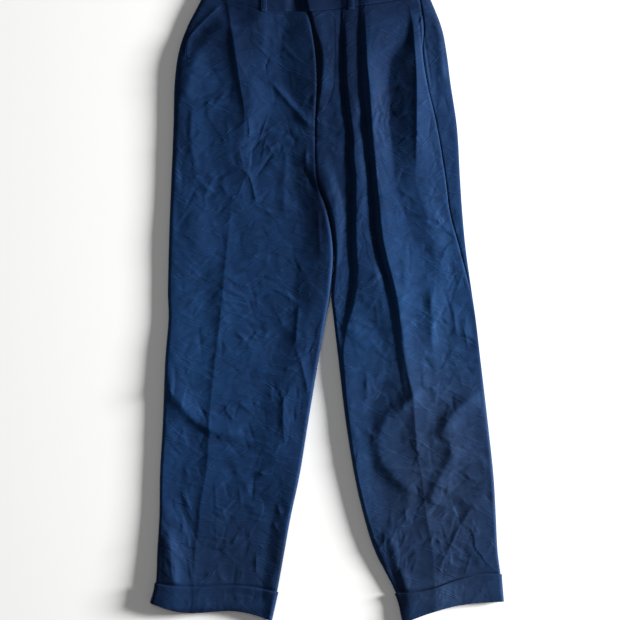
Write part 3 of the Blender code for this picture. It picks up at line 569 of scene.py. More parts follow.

# %% [markdown]
# The smaller creases are placed one by one, where the photograph shows them, in its pixels
# too. Each is a soft ridge, or a trough where its height is below zero, with its own
# reach to either side. It may run in any direction, and it fades out at both ends.

# %% Listed creases
# height, reach to the left or up, reach to the right or down (mm), then px, py of each point
CREASES = (
    # the right hip: the pocket's edge, the pleat and what hangs from them
    (1.8, 5, 4, 224, 3, 211, 14, 200, 25, 190, 37, 186, 60),
    (2.6, 14, 14, 234, 20, 212, 37, 200, 52, 190, 75, 183, 106), (1.5, 14, 8, 264, 22, 262, 58),
    (-0.9, 2, 2.5, 184, 69, 205, 70, 226, 69), (-1.3, 2.5, 3, 184, 102, 203, 97, 223, 90),
    (1, 3, 4, 204, 105, 214, 101), (1, 2, 7, 248, 114, 249, 128, 249.5, 142),
    (2.4, 4, 6, 268, 78, 290, 104, 313, 131), (1, 3, 5, 281, 89, 298, 110, 316, 130),
    (-1.1, 3, 3, 272, 129, 258, 143, 244, 158), (-1.1, 3, 3, 278, 145, 265, 164, 252, 183),
    (-0.8, 2, 2, 281, 138, 267, 146), (0.8, 2, 2.5, 271, 140, 291, 136),
    (1.2, 4, 8, 192, 104, 191, 130, 193, 164),
    (1.5, 3.5, 6, 233, 164, 246, 172, 254.5, 195, 257, 207),
    (1.1, 3, 3, 199, 182, 208, 188, 218, 196), (0.9, 3, 3, 205, 197, 210, 186, 213, 177),
    (-1.2, 3, 3, 197, 187, 190, 199, 184, 210), (-1.1, 3, 3, 227, 202, 221, 210, 215, 217),
    (1.2, 3, 3, 245, 226, 260, 225, 275, 226), (-0.8, 2, 3, 247, 238, 266, 237),
    (-0.8, 2, 3, 268, 254, 280, 255), (-1, 2.5, 3, 227, 272, 238, 271, 249, 270.6),
    (0.9, 2, 3, 224, 277, 241, 276), (-2.4, 7, 5, 300, 164, 310, 180, 319, 198),
    (1.2, 3, 5, 307, 146, 306.5, 158, 307, 171),
    (1.1, 8, 7, 284, 144, 285.5, 165, 284, 190, 285, 218),
    (0.9, 2.5, 3, 318, 206, 319, 230, 321, 260),
    # the right knee
    (-1.2, 3, 4, 173, 295, 188, 292, 205, 289), (1, 3, 4, 184, 309, 191, 303, 198, 296),
    (1.1, 2.5, 4, 221, 287, 234, 292, 248, 298), (-0.9, 2.5, 3, 253, 300, 271, 294.5),
    (1.1, 3, 4, 236, 326, 250, 330, 266, 335), (1, 3, 4, 232, 328, 240, 335, 249, 344),
    (0.8, 2.5, 3, 219, 319, 231, 324), (1.2, 3, 4, 268, 288, 281, 292, 290, 298, 289, 306),
    (-0.9, 2.5, 3, 246, 379, 262, 378), (1.3, 3, 4, 224, 402, 230, 416, 241, 423),
    (-1.2, 4, 4, 239, 430, 248, 434),
    (3.8, 10, 18, 158, 374, 170, 391, 185, 409, 200, 423, 222, 432, 250, 433),
    (-1.6, 4, 14, 225, 449, 241, 447, 260, 448), (1.5, 4, 6, 299, 300, 297, 325, 295, 349),
    (1.5, 4, 6, 299, 350, 304, 374, 310, 399), (1.4, 4, 7, 284, 390, 283, 418, 284.5, 447),
    (0.9, 4, 5, 258, 470, 266, 476), (-1.6, 4, 12, 174, 360, 175, 382, 173, 402),
    # the right shin
    (1.3, 3.5, 6, 183, 465, 191, 481), (1.3, 3.5, 6, 180, 488, 185, 500, 190, 513),
    (-0.9, 2.5, 3, 238, 499.5, 256, 498.5), (1, 3, 4, 212, 511, 225, 517),
    (0.8, 3, 3, 229, 520, 240, 522), (-1, 2.5, 3, 207, 550, 224, 550.5),
    (-1.1, 3, 4, 190, 576, 210, 575.5), (0.9, 3, 3, 217, 576.5, 227, 581),
    (0.9, 3, 3, 255, 474, 272, 474), (1.1, 3, 4, 276, 502, 282, 518),
    (1.1, 3, 4, 272, 521, 280, 534), (1.2, 3, 6, 256, 550, 256, 578),
    (3.6, 18, 8, 166, 524, 170, 545, 173, 565, 175, 592, 176, 612),
    # both pockets' stitching
    (-0.8, 1.6, 1.6, 418, 10, 421, 40, 424, 60, 429, 94),
    (-0.8, 1.6, 1.6, 421.6, 8, 424.6, 40, 427.6, 60, 432.4, 92),
    # the fly and the left thigh
    (-0.7, 1.8, 1.8, 333, 10, 334, 60, 332, 90, 325, 108, 318, 118),
    (1.6, 10, 5, 440, 16, 442, 45, 445, 84), (1, 3, 3, 318.5, 112, 330.5, 102),
    (1, 3, 4, 316, 123, 328, 127, 340, 131), (0.9, 3, 4, 316, 136, 339, 140.5),
    (1.2, 3, 5, 395, 188, 415, 199), (-0.9, 2.5, 3, 401, 216, 425, 217.5),
    (-1.3, 3, 3.5, 415, 252.5, 427, 251, 440, 249.5), (-0.8, 2, 3, 407, 285, 417.5, 283),
    # the left knee
    (-0.8, 3, 5, 351, 320, 367, 328, 394, 331), (2.2, 7, 13, 430, 284, 431, 315, 433, 356),
    (3.2, 11, 22, 408, 398, 391, 413, 383, 428, 379, 443, 382, 459, 392, 474, 404, 485, 424, 496),
    (4.2, 10, 14, 425, 388, 410, 400, 394, 419),
    (4.2, 11, 18, 486, 392, 465, 404, 451, 418, 443, 432, 439, 444),
    (2.8, 9, 13, 449, 441, 452, 452, 446, 467, 438, 482, 432, 497, 430, 512),
    (1.1, 3, 4, 371, 467, 396, 468, 420, 470, 437, 472), (-1, 2.5, 3, 410, 361, 435, 360),
    (-1, 2.5, 3, 430, 380, 455, 379), (-0.9, 2.5, 3, 431, 404, 452, 406),
    (1.1, 3, 5, 366.5, 369, 366.5, 400), (1.3, 3.5, 6, 452, 301, 455, 320, 458, 342),
    (1.2, 3.5, 5, 462, 320, 466, 336, 469, 352),
    # the left shin
    (1.1, 3, 5, 404.5, 503, 407, 526), (-1.2, 3, 4, 440, 503, 428, 519),
    (1.8, 5, 10, 475, 503, 458, 530, 450, 547, 443, 561, 437, 577),
    (1.4, 4, 6, 384.5, 528, 384.5, 552),
    (2.8, 10, 10, 386, 524, 393, 548, 399, 568, 405, 585, 408, 606),
    (1.1, 3, 4, 453, 556, 473, 564), (-0.8, 2, 2.5, 465, 482, 482, 484.5),
    (-0.8, 2, 2.5, 465, 490, 482, 490), (-0.7, 2, 2, 469, 496, 476, 496),
    (0.8, 2.5, 3, 394, 539, 395.5, 527), (0.8, 2.5, 3, 401, 543, 406, 534),
)
CREASE_POWERS = (1.2, 1.8)           # a narrow crease is nearly sharp, a broad one round
BROAD = 8.0                          # mm, the first reach of a broad crease
CREASE_STEP = 3.0                    # mm between points of a crease's curve
CREASE_MARGIN = 3.0                  # reaches from its curve to where a crease is nothing
FADE_LENGTH = 24.0                   # mm over which a long crease dies out
LIT_SIDE = np.array([1.0, -0.3])     # the second reach of a crease is on this side


def curve_through(points, step):
    """A smooth curve through points, as a chain of points about one step apart."""
    chords = np.concatenate([[0.0], np.cumsum(np.hypot(*np.diff(points, axis=0).T))])
    at = np.linspace(0.0, chords[-1], max(int(chords[-1] / step), 2) + 1)
    if len(points) == 2:
        return np.stack([np.interp(at, chords, points[:, i]) for i in (0, 1)], axis=-1)
    return np.stack([smooth(chords, points[:, i], at) for i in (0, 1)], axis=-1)


def crease_height(x, y, creases):
    """Sum over the creases of height * exp(-(distance / reach) ** power) * end fade."""
    total = np.zeros(x.shape)
    for height, low_reach, high_reach, *points in creases:
        path = curve_through(on_cloth(np.reshape(points, (-1, 2))), CREASE_STEP)
        margin = CREASE_MARGIN * max(low_reach, high_reach)
        low, high = path.min(axis=0) - margin, path.max(axis=0) + margin
        near = (x > low[0]) & (x < high[0]) & (y > low[1]) & (y < high[1])
        if not near.any():
            continue
        here = np.stack([x[near], y[near]], axis=-1)[:, None]
        steps = np.diff(path, axis=0)
        squares = (steps ** 2).sum(axis=1)
        along = np.clip(((here - path[:-1]) * steps).sum(axis=-1) / squares, 0.0, 1.0)
        apart = here - path[:-1] - along[..., None] * steps
        distances = np.linalg.norm(apart, axis=-1)
        nearest = distances.argmin(axis=1)
        picked = np.arange(len(nearest)), nearest
        across = np.stack([-steps[:, 1], steps[:, 0]], axis=-1)
        across = across * np.sign((across @ LIT_SIDE).sum())
        side = (apart[picked] * across[nearest]).sum(axis=1)
        reach = np.where(side < 0, low_reach, high_reach)
        length = np.sqrt(squares).sum()
        place = (nearest + along[picked]) / len(steps) * length
        fade = min(max(FADE_LENGTH, 2 * low_reach, 2 * high_reach), 0.4 * length)
        ends = eased(place / fade) * eased((length - place) / fade)
        power = CREASE_POWERS[low_reach >= BROAD]
        total[near] += height * ends * np.exp(-(distances[picked] / reach) ** power)
    return total


print("hand-placed creases:", len(CREASES))

# %% [markdown]
# Between the creases, worn cotton is covered with short crinkles. They crowd together
# where the cloth has been bent, and there they mostly run one way. A patch gives a place,
# a size and a direction, and a seeded generator strews the crinkles in it, so that the
# result is the same each time. Under everything lies the unevenness of the cloth itself:
# soft waves, and crumpled flats of five sizes that meet in faint creases.

# %% Crinkles and unevenness
# px, py, half width, half height (pixels), count, angle, spread (degrees), length, height (mm)
PATCHES = (
    (205, 60, 22, 30, 16, 10, 30, 12, 0.5), (222, 97, 14, 10, 10, 20, 25, 12, 0.6),
    (275, 60, 24, 44, 16, -60, 30, 14, 0.5), (262, 150, 26, 34, 22, 50, 30, 14, 0.6),
    (208, 188, 16, 14, 14, 30, 60, 9, 0.7), (300, 150, 14, 50, 16, -50, 30, 11, 0.5),
    (190, 150, 16, 50, 14, 70, 30, 12, 0.5), (270, 225, 40, 60, 26, 5, 30, 13, 0.5),
    (205, 250, 26, 50, 18, 20, 40, 12, 0.5), (248, 320, 40, 46, 30, -10, 35, 13, 0.6),
    (195, 320, 22, 44, 16, 20, 40, 12, 0.5), (250, 415, 34, 40, 24, -20, 45, 12, 0.6),
    (190, 430, 24, 40, 20, -35, 35, 13, 0.6), (290, 400, 16, 60, 16, 75, 25, 12, 0.5),
    (225, 520, 50, 60, 36, 0, 40, 12, 0.6), (180, 540, 16, 40, 14, -60, 25, 12, 0.6),
    (340, 60, 14, 50, 14, 70, 30, 10, 0.4), (382, 114, 12, 16, 14, 80, 20, 12, 0.5),
    (378, 200, 12, 90, 24, -80, 20, 12, 0.45), (405, 160, 12, 80, 22, -10, 50, 9, 0.5),
    (432, 160, 14, 80, 22, 60, 50, 9, 0.5), (441, 223, 8, 6, 7, 0, 40, 9, 0.7),
    (360, 230, 10, 70, 16, 80, 25, 10, 0.4), (340, 220, 10, 80, 16, 60, 40, 10, 0.5),
    (436, 50, 8, 46, 16, 0, 30, 8, 0.6), (440, 300, 26, 60, 30, 80, 35, 12, 0.6),
    (370, 340, 30, 50, 24, 0, 50, 12, 0.5), (440, 390, 34, 50, 32, 0, 40, 12, 0.6),
    (385, 430, 30, 50, 26, 40, 50, 12, 0.6), (445, 470, 36, 36, 28, -5, 35, 12, 0.6),
    (400, 540, 26, 46, 26, 60, 40, 11, 0.6), (450, 540, 34, 46, 30, 40, 45, 12, 0.6),
    (340, 300, 8, 50, 10, 80, 20, 10, 0.4), (215, 600, 50, 9, 12, 80, 25, 9, 0.6),
    (450, 592, 45, 11, 14, 80, 25, 9, 0.6), (440, 320, 30, 50, 10, 0, 20, 16, 0.5),
    (235, 370, 40, 60, 12, 0, 20, 16, 0.5),
)
CROWDING = 2.6                       # times the counts above
SCATTER = 0.6                        # of a patch's half sizes
CRINKLE_LENGTHS, CRINKLE_HEIGHTS = (0.7, 2.8), (0.3, 1.25)     # times the patch's own
STEEP_SIDES, GENTLE_SIDES = (1.2, 2.0), (1.6, 6.0)             # mm
TILE = 64                            # squares of noise before it repeats


def crinkle_height(x, y):
    """Each crinkle: height * exp(-|b / width| ^ 1.3) * (1 - (a / length)^2)^2, with a
    counted along it and b across it. Its two sides differ in width, like a creased flat."""
    chance = np.random.default_rng(7)
    total = np.zeros(x.shape)
    for px, py, wide, high, count, angle, spread, length, height in PATCHES:
        middle = on_cloth((px, py))
        count = int(count * CROWDING)
        shift = chance.normal(0.0, SCATTER, (count, 2)) * (wide * PIXEL, high * PIXEL)
        turns = np.radians(angle + chance.normal(0.0, spread, count))
        sizes = length * chance.uniform(*CRINKLE_LENGTHS, count)
        heights = height * chance.uniform(*CRINKLE_HEIGHTS, count)
        heights = heights * chance.choice((-1.0, 1.0), count)
        widths = np.stack([chance.uniform(*sides, count) for sides in (STEEP_SIDES, GENTLE_SIDES)])
        widths = np.where(chance.random(count) < 0.5, widths, widths[::-1])
        for i in range(count):
            dx, dy = x - middle[0] - shift[i, 0], y - middle[1] - shift[i, 1]
            near = (np.abs(dx) < sizes[i]) & (np.abs(dy) < sizes[i])
            a = dx[near] * math.cos(turns[i]) + dy[near] * math.sin(turns[i])
            b = dy[near] * math.cos(turns[i]) - dx[near] * math.sin(turns[i])
            ends = np.clip(1 - (a / sizes[i]) ** 2, 0.0, 1.0) ** 2
            width = np.where(b < 0, widths[0, i], widths[1, i])
            total[near] += heights[i] * ends * np.exp(-np.abs(b / width) ** 1.3)
    return total


def noise(x, y, size, seed):
    """Gradient noise: random slopes at the corners of squares, blended with a fifth-order
    step. It runs from about -0.7 to 0.7."""
    angles = np.random.default_rng(seed).uniform(0.0, 2 * math.pi, (TILE, TILE))
    column, row = np.floor(x / size).astype(int), np.floor(y / size).astype(int)
    right, up = x / size - column, y / size - row
    total = np.zeros(x.shape)
    for i in (0, 1):
        for j in (0, 1):
            angle = angles[(column + i) % TILE, (row + j) % TILE]
            slope = np.cos(angle) * (right - i) + np.sin(angle) * (up - j)
            near_x, near_y = 1 - np.abs(right - i), 1 - np.abs(up - j)
            total += slope * np.prod([n ** 3 * (6 * n * n - 15 * n + 10)
                                      for n in (near_x, near_y)], axis=0)
    return total


def facets(x, y, size, angle, seed):
    """Crumpled flats: random heights at the corners of turned squares, each cut into two
    triangles, and a flat face in each triangle, so that creases run where they meet."""
    heights = np.random.default_rng(seed).uniform(-0.5, 0.5, (TILE, TILE))
    along = (x * math.cos(angle) + y * math.sin(angle)) / size
    across = (y * math.cos(angle) - x * math.sin(angle)) / size
    i, j = np.floor(along).astype(int), np.floor(across).astype(int)
    a, b = along - i, across - j
    i, j = i % (TILE - 1), j % (TILE - 1)
    corner, far = heights[i, j], heights[i + 1, j + 1]
    turn = np.where(a > b, heights[i + 1, j], heights[i, j + 1])
    first, second = np.maximum(a, b), np.minimum(a, b)
    return corner + first * (turn - corner) + second * (far - turn)


BEND = 14.0                    # mm that slow noise moves the flats about
PATCHY = 1.1                   # how much their strength varies
FACETS = (          # size, weight in mm, angle, seed
    (46.0, 1.2, 0.5, 21), (29.0, 0.9, 1.3, 22), (19.0, 0.6, 2.2, 23), (12.0, 0.34, 0.2, 24),
    (8.0, 0.16, 1.0, 25),
)


def unevenness(x, y):
    """Soft waves of 45 and 18 mm under crumpled flats of five sizes. All are bent by slow
    noise, and stronger in some places than in others."""
    bent_x = x + BEND * noise(x, y, 34.0, 3)
    bent_y = y + BEND * noise(x, y, 38.0, 6)
    strength = 1.0 + PATCHY * noise(x, y, 95.0, 4)
    total = 0.7 * noise(bent_x, y, 45.0, 1) + 0.3 * noise(bent_x, bent_y * 0.8, 18.0, 2)
    for size, weight, angle, seed in FACETS:
        total += weight * facets(bent_x, bent_y * 1.15, size, angle, seed)
    return strength * total


print("crinkles:", sum(int(patch[4] * CROWDING) for patch in PATCHES))

# %% [markdown]
# Where the cloth is held, it can't crease. All of the small relief dies out towards the
# silhouette, inside the cuffs and at the waist seam. Along the centre seam and the side
# seam of the left leg the cloth sinks by about a millimetre, as it does at a seam that is
# pressed open.

# %% Relief of the fronts
SILHOUETTE_FADE = 14.0
END_FADE = 0.2                 # of a section, from the cuff and from the waist seam
SEAM_DIP = 0.9
SEAM_REACH = 1.8
SEAM_APART = 6.0               # mm inside the silhouette, where a side seam dips in full
CUFF_DIP, CUFF_DIP_AT, CUFF_DIP_REACH = 1.5, 0.03, 0.05        # above the cuff's top edge


def relief(half, v, share, x, y):
    """Creases, crinkles and unevenness, times the fades, less the dips at the seams."""
    size = section(half, v)
    inset = share * size["width"]
    from_inner = size["width"] - inset
    held = eased(inset / SILHOUETTE_FADE) * eased((v - CUFF_TOP) / END_FADE)
    held = held * eased((WAIST_SEAM - v) / END_FADE)
    held *= size["join"] + (1 - size["join"]) * eased(from_inner / SILHOUETTE_FADE)
    small = crease_height(x, y, CREASES) + crinkle_height(x, y) + unevenness(x, y)
    dips = size["join"] * np.exp(-(from_inner / SEAM_REACH) ** 2)
    beside_seam = (inset - size["seam_in"]) / SEAM_REACH
    dips = dips + np.exp(-beside_seam ** 2) * eased(size["seam_in"] / SEAM_APART)
    dips = dips + CUFF_DIP * np.exp(-((v - CUFF_TOP - CUFF_DIP_AT) / CUFF_DIP_REACH) ** 2)
    return small * held - SEAM_DIP * dips


at_knee = relief("right", np.array([6.0]), np.array([0.4]), knee[:1], knee[1:2])
print("relief at the same point of the knee in mm:", round(float(at_knee[0]), 2))

# %% [markdown]
# Soft patches change the colour. Most of them darken it as painted shade: at the waist,
# beside the fly and the pleats, along the edges of the legs and low on the right leg. The
# pale ones over the left thigh and knee are painted light, and partly the paleness of cotton
# worn there. A table of soft patches says where, and how much.

# %% Painted shade and light, with fading
# px, py, half width, half height (pixels), amount: below 0 painted shade, above 0 painted light and
# fading
PAINTED_SHADE_LIGHT_AND_FADE = (
    (320, -10, 200, 75, -0.5), (330, 130, 200, 70, -0.15), (315, 200, 28, 100, -0.35),
    (315.5, 75, 5, 50, -1.2), (205, 38, 30, 25, -0.45), (280, 560, 6, 50, -0.8),
    (157, 560, 7, 55, -0.6), (205, 612, 60, 4, -0.9), (264, 560, 5, 45, 0.3),
    (152, 580, 5, 40, -0.8), (402, 600, 8, 14, -0.9), (317, 360, 5, 40, -0.4),
    (303, 430, 5, 45, -0.4), (292, 490, 5, 40, -0.4), (319, 205, 6, 22, -0.7),
    (303, 178, 6, 10, -0.5),
    (408, 60, 5, 45, -0.5), (353, 70, 5, 55, -0.5), (312, -4, 26, 14, 0.2), (455, 570, 30, 12, -0.2),
    (317, 210, 8, 50, -0.3), (384, 80, 14, 80, -0.35), (376, 230, 9, 90, -0.25),
    (400, 110, 10, 45, -0.3), (366, 340, 16, 34, 0.3), (248, 40, 18, 25, -0.35),
    (243, 95, 6, 40, -0.3), (338, 45, 14, 40, -0.4), (436, 35, 9, 25, -0.3),
    (362, 470, 10, 60, 0.2), (200, 350, 20, 60, 0.1),
    (345, 130, 18, 140, -0.3), (435, 330, 50, 90, 0.3), (320, 4, 120, 9, -0.5),
    (195, 340, 60, 70, 0.12), (215, 590, 60, 60, -0.25), (245, 540, 25, 60, -0.15),
    (160, 575, 10, 50, -0.5), (178, 120, 10, 70, -0.35), (398, 575, 14, 40, -0.35),
    (440, 592, 40, 16, 0.3),
)
GREYED = (          # where it has lost its blue as well
    (440, 500, 80, 110, 0.9), (445, 592, 60, 22, 0.5), (430, 400, 50, 60, 0.25),
    (230, 570, 70, 60, 0.4),
)


def over_zones(x, y, zones):
    """Sum of amount * exp(-(dx / half width)^2 - (dy / half height)^2)."""
    total = np.zeros(np.shape(x))
    for px, py, wide, high, amount in zones:
        middle = on_cloth((px, py))
        total += amount * np.exp(-((x - middle[0]) / (wide * PIXEL)) ** 2
                                 - ((y - middle[1]) / (high * PIXEL)) ** 2)
    return total


print("zones:", len(PAINTED_SHADE_LIGHT_AND_FADE), "painted_light_and_fading at the left knee",
      round(float(over_zones(*on_cloth((435, 330)), PAINTED_SHADE_LIGHT_AND_FADE)), 2))

# %% [markdown]
# A sheet of cloth is a closed shell with a fine outer face, where every crease shows, and
# a coarser inner one that nobody sees. The inner face keeps only every third row and
# column. At each of its points it lies one thickness further in than the deepest relief
# near by, so that it never comes through. Narrow strips join the two along their edges.
# The mesh carries a UV map in metres of cloth for the weave, and three attributes for its
# colour. One tells crests from hollows: the crests are paler, as worn cotton is, and the
# hollows darker as painted shade. The second holds painted shade and painted light, partly
# fading, and the third says how grey it is.

# %% A closed shell of cloth
SKIP = 3


def over_neighbours(field, reach, join):
    """Join each value with those up to reach steps away, first by rows, then by columns."""
    for axis in (0, 1):
        edges = [(reach, reach) if a == axis else (0, 0) for a in (0, 1)]
        padded = np.pad(field, edges, mode="edge")
        size = field.shape[axis]
        field = join.reduce([np.take(padded, range(i, i + size), axis=axis)
                             for i in range(2 * reach + 1)])
    return field


def border(fine, coarse):
    """Triangles between a fine line of points and one with every third of them."""
    f0, f1, f2, f3 = fine[:-1:3], fine[1::3], fine[2::3], fine[3::3]
    c0, c1 = coarse[:-1], coarse[1:]
    return np.concatenate([np.stack(corners, axis=-1) for corners in (
        (f0, f1, c0), (f1, f2, c0), (f2, c1, c0), (f2, f3, c1))])


def lattice(number):
    """Quads between the numbers of a grid's points."""
    return np.stack([number[:-1, :-1], number[:-1, 1:], number[1:, 1:], number[1:, :-1]],
                    axis=-1).reshape(-1, 4)


def new_object(name, points, faces, finish):
    """A smooth mesh from points in mm and a list of faces, put in the scene."""
    mesh = bpy.data.meshes.new(name)
    mesh.from_pydata(((points - CENTRE) * MM).tolist(), [], faces)
    mesh.materials.append(finish)
    mesh.shade_smooth()
    made = bpy.data.objects.new(name, mesh)
    scene.collection.objects.link(made)
    return made


def shell(name, outer, inner, crest, finish, ring=False):
    """One closed mesh between a fine grid and its coarse inner one, in mm."""
    rows, columns = outer.shape[:2]
    fine = np.arange(rows * columns).reshape(rows, columns)
    coarse = np.arange(inner.shape[0] * inner.shape[1]).reshape(inner.shape[:2]) + fine.size
    around = np.cumsum(np.linalg.norm(np.diff(outer, axis=1, prepend=outer[:, :1]), axis=-1), axis=1)
    along = np.cumsum(np.linalg.norm(np.diff(outer, axis=0, prepend=outer[:1]), axis=-1), axis=0)
    place = np.stack([around, along], axis=-1)
    values = [np.concatenate([grid.reshape(fine.size, -1), part.reshape(coarse.size, -1)])
              for grid, part in ((outer, inner), (place, place[::SKIP, ::SKIP]),
                                 (crest, crest[::SKIP, ::SKIP]))]
    if ring:
        fine = np.concatenate([fine, fine[:, :1]], axis=1)
        coarse = np.concatenate([coarse, coarse[:, :1]], axis=1)
    quads = np.concatenate([lattice(fine), lattice(coarse)[:, ::-1]])
    edges = [(fine[0, ::-1], coarse[0, ::-1]), (fine[-1], coarse[-1])]
    if not ring:
        edges += [(fine[:, 0], coarse[:, 0]), (fine[::-1, -1], coarse[::-1, -1])]
    triangles = np.concatenate([border(*edge) for edge in edges])
    corners = (values[0] * MM)[np.concatenate([quads[:, :3], quads[:, [0, 2, 3]], triangles])]
    volume = np.einsum("ij,ij->i", corners[:, 0], np.cross(corners[:, 1], corners[:, 2])).sum() / 6
    if volume < 0:
        quads, triangles = quads[:, ::-1], triangles[:, ::-1]
    made = new_object(name, values[0], quads.tolist() + triangles.tolist(), finish)
    mesh = made.data
    loops = np.concatenate([quads.ravel(), triangles.ravel()])
    mesh.uv_layers.new(name="cloth").data.foreach_set("uv", (values[1][loops] * MM).ravel())
    # The zones give painted shade and painted light, partly fading; the greyed patches give greyer
    # dye.
    painted_shade_light_and_fade, greyed = (over_zones(values[0][:, 0], values[0][:, 1], zones)
                     for zones in (PAINTED_SHADE_LIGHT_AND_FADE, GREYED))
    for attribute, field in (("crest", values[2].ravel()), ("painted_shade_light_and_fade", painted_shade_light_and_fade), ("greyed", greyed)):
        mesh.attributes.new(attribute, "FLOAT", "POINT").data.foreach_set("value", field)
    area = sum(0.5 * np.linalg.norm(np.cross(corners[:, 1] - corners[:, 0],
                                             corners[:, 2] - corners[:, 0]), axis=1))
    print(name, "triangles", len(corners), "half area m2", round(float(area) / 2, 4),
          "volume cm3", round(abs(float(volume)) * 1e6, 1))
    return made


# %% [markdown]
# The trousers are plain navy cotton twill. Dyed yarn is never quite even, so the colour
# wanders a little over a few centimetres. The crests are paler, as worn cotton is, and the
# hollows darker as painted shade. Soft patches paint shade and light into the colour too,
# and the fine creases are paler, partly as wear and partly as a painted highlight. A little
# sheen stands for the fibre ends that catch the light.
# Twill's diagonal lines are 0.7 mm apart, which is too fine for a picture with 1.7 mm to
# a pixel, so they are drawn coarser and faintly.

# %% Navy cotton twill
TWILL_DRAWN = 3.2 * MM         # real lines are 0.7 mm apart: coarser, so that they show
TWILL_ANGLE = 27.0
FINE_CREASES = 9.0 * MM        # between the finest creases
CREASE_STRETCH = 6.0           # how many times longer than that they are
CREASE_ANGLES = (3.0, -17.0, 34.0)
CREASE_LINE = 0.74             # the noise is a line from here up
PATCH = 13.0 * MM              # width of the patches in which they show
PATCH_EDGE = (0.47, 0.72)
YARN_DRAWN = 2.6 * MM          # uneven yarns: real ones are 0.3 mm thick
YARN_STRETCHES = ((22.0, 1.0, 1.0), (1.0, 30.0, 1.0))
MOTTLE = 30.0 * MM             # uneven dye
NAVY_GLANCE = (0.25, 0.5, 1.0, 1.0)         # what dark blue fibres reflect is blue as well
NAVY_SHEEN = (0.4, 0.6, 1.0, 1.0)


def cotton_twill(name, deep, plain, worn_and_lit):
    """Woven cotton, matt. A shade from 0 to 1 runs from the deep colour through the plain
    one to the worn and lit one: the uneven dye, plus 0.65 painted shade and light (partly
    fading) + 0.12 crest (paler crests as wear, darker hollows as painted shade) + 0.16 fine
    creases (partly a painted highlight) + 0.16 of each set of yarns. Where it is washed out,
    it is greyer as well."""
    made, shader = new_material(name)
    cloth = add_node(made, "UVMap", "UV", uv_map="cloth")
    crest, painted_shade_light_and_fade, greyed = [add_node(made, "Attribute", "Fac", attribute_name=attribute)
                            for attribute in ("crest", "painted_shade_light_and_fade", "greyed")]
    mottle = add_node(made, "TexNoise", "Fac", {
        "Vector": cloth, "Scale": 1 / MOTTLE, "Detail": 4.0, "Roughness": 0.65})
    # Fine creases: a bump, and paler in the colour, partly as wear and partly as a painted highlight.
    creased = 0.0
    for angle in CREASE_ANGLES:
        pulled = add_node(made, "Mapping", "Vector", {
            "Vector": cloth, "Rotation": (0.0, 0.0, math.radians(angle)),
            "Scale": (CREASE_STRETCH, 1.0, 1.0)}, vector_type="TEXTURE")
        line = add_node(made, "TexNoise", "Fac", {
            "Vector": pulled, "Scale": 1 / FINE_CREASES, "Detail": 0.0, "Offset": 1.0,
            "Distortion": 0.5}, noise_type="RIDGED_MULTIFRACTAL")
        patches = add_node(made, "TexNoise", "Fac", {
            "Vector": pulled, "Scale": 1 / PATCH, "Detail": 1.0})
        line = calculate(made, "MULTIPLY", remap(made, line, CREASE_LINE),
                         remap(made, patches, *PATCH_EDGE))
        creased = calculate(made, "MAXIMUM", creased, line)
    yarns = []
    for stretch in YARN_STRETCHES:
        pulled = add_node(made, "Mapping", "Vector", {"Vector": cloth, "Scale": stretch},
                          vector_type="TEXTURE")
        yarns.append(add_node(made, "TexNoise", "Fac", {
            "Vector": pulled, "Scale": 1 / YARN_DRAWN, "Detail": 2.0}))
    turned = add_node(made, "Mapping", "Vector", {
        "Vector": cloth, "Rotation": (0.0, 0.0, math.radians(TWILL_ANGLE))})
    lines = add_node(made, "TexWave", "Fac", {
        "Vector": turned, "Scale": WAVE / TWILL_DRAWN, "Distortion": 0.6, "Detail": 2.0,
        "Detail Scale": 2.0})
    # The shade mixes uneven dye and wear with painted shade and light from the zones and the hollows.
    shade = remap(made, mottle, 0.2, 0.8, 0.18, 0.48)
    for part, weight in ((painted_shade_light_and_fade, 0.65), (crest, 0.12), (creased, 0.16), (yarns[0], 0.16),
                         (yarns[1], 0.16)):
        shade = calculate(made, "MULTIPLY_ADD", part, weight, shade)
    colour = linear(deep)
    for start, target in ((0.0, plain), (0.5, worn_and_lit)):
        colour = blend(made, remap(made, shade, start, start + 0.5), colour, target)
    saturation, value = [remap(made, greyed, to_low=1.0, to_high=least)
                         for least in (0.86, 0.78)]
    colour = add_node(made, "HueSaturation", "Color", {
        "Saturation": saturation, "Value": value, "Color": colour})
    fine = calculate(made, "MULTIPLY_ADD", lines, 0.1, creased)
    feed(made, shader, {
        "Base Color": colour, "Roughness": remap(made, mottle, to_low=0.62, to_high=0.78),
        "Normal": bump(made, 0.9, 0.5 * MM, fine), "IOR": 1.5, "Specular IOR Level": 0.2,
        "Specular Tint": NAVY_GLANCE, "Sheen Weight": 0.02, "Sheen Tint": NAVY_SHEEN,
        "Sheen Roughness": 0.5})
    return made


# The deep colour also serves as painted shade, and the worn one as painted light as well as wear.
navy_twill = cotton_twill("navy cotton twill", "#07152f", "#0f2749", "#163962")
print("finish:", navy_twill.name)

# %% [markdown]
# The columns of a front's grid follow its pleats, creases and grooves, so that a sharp
# crest runs along a column and never across it in steps. Towards the silhouette the
# columns crowd together, where the cloth turns over.

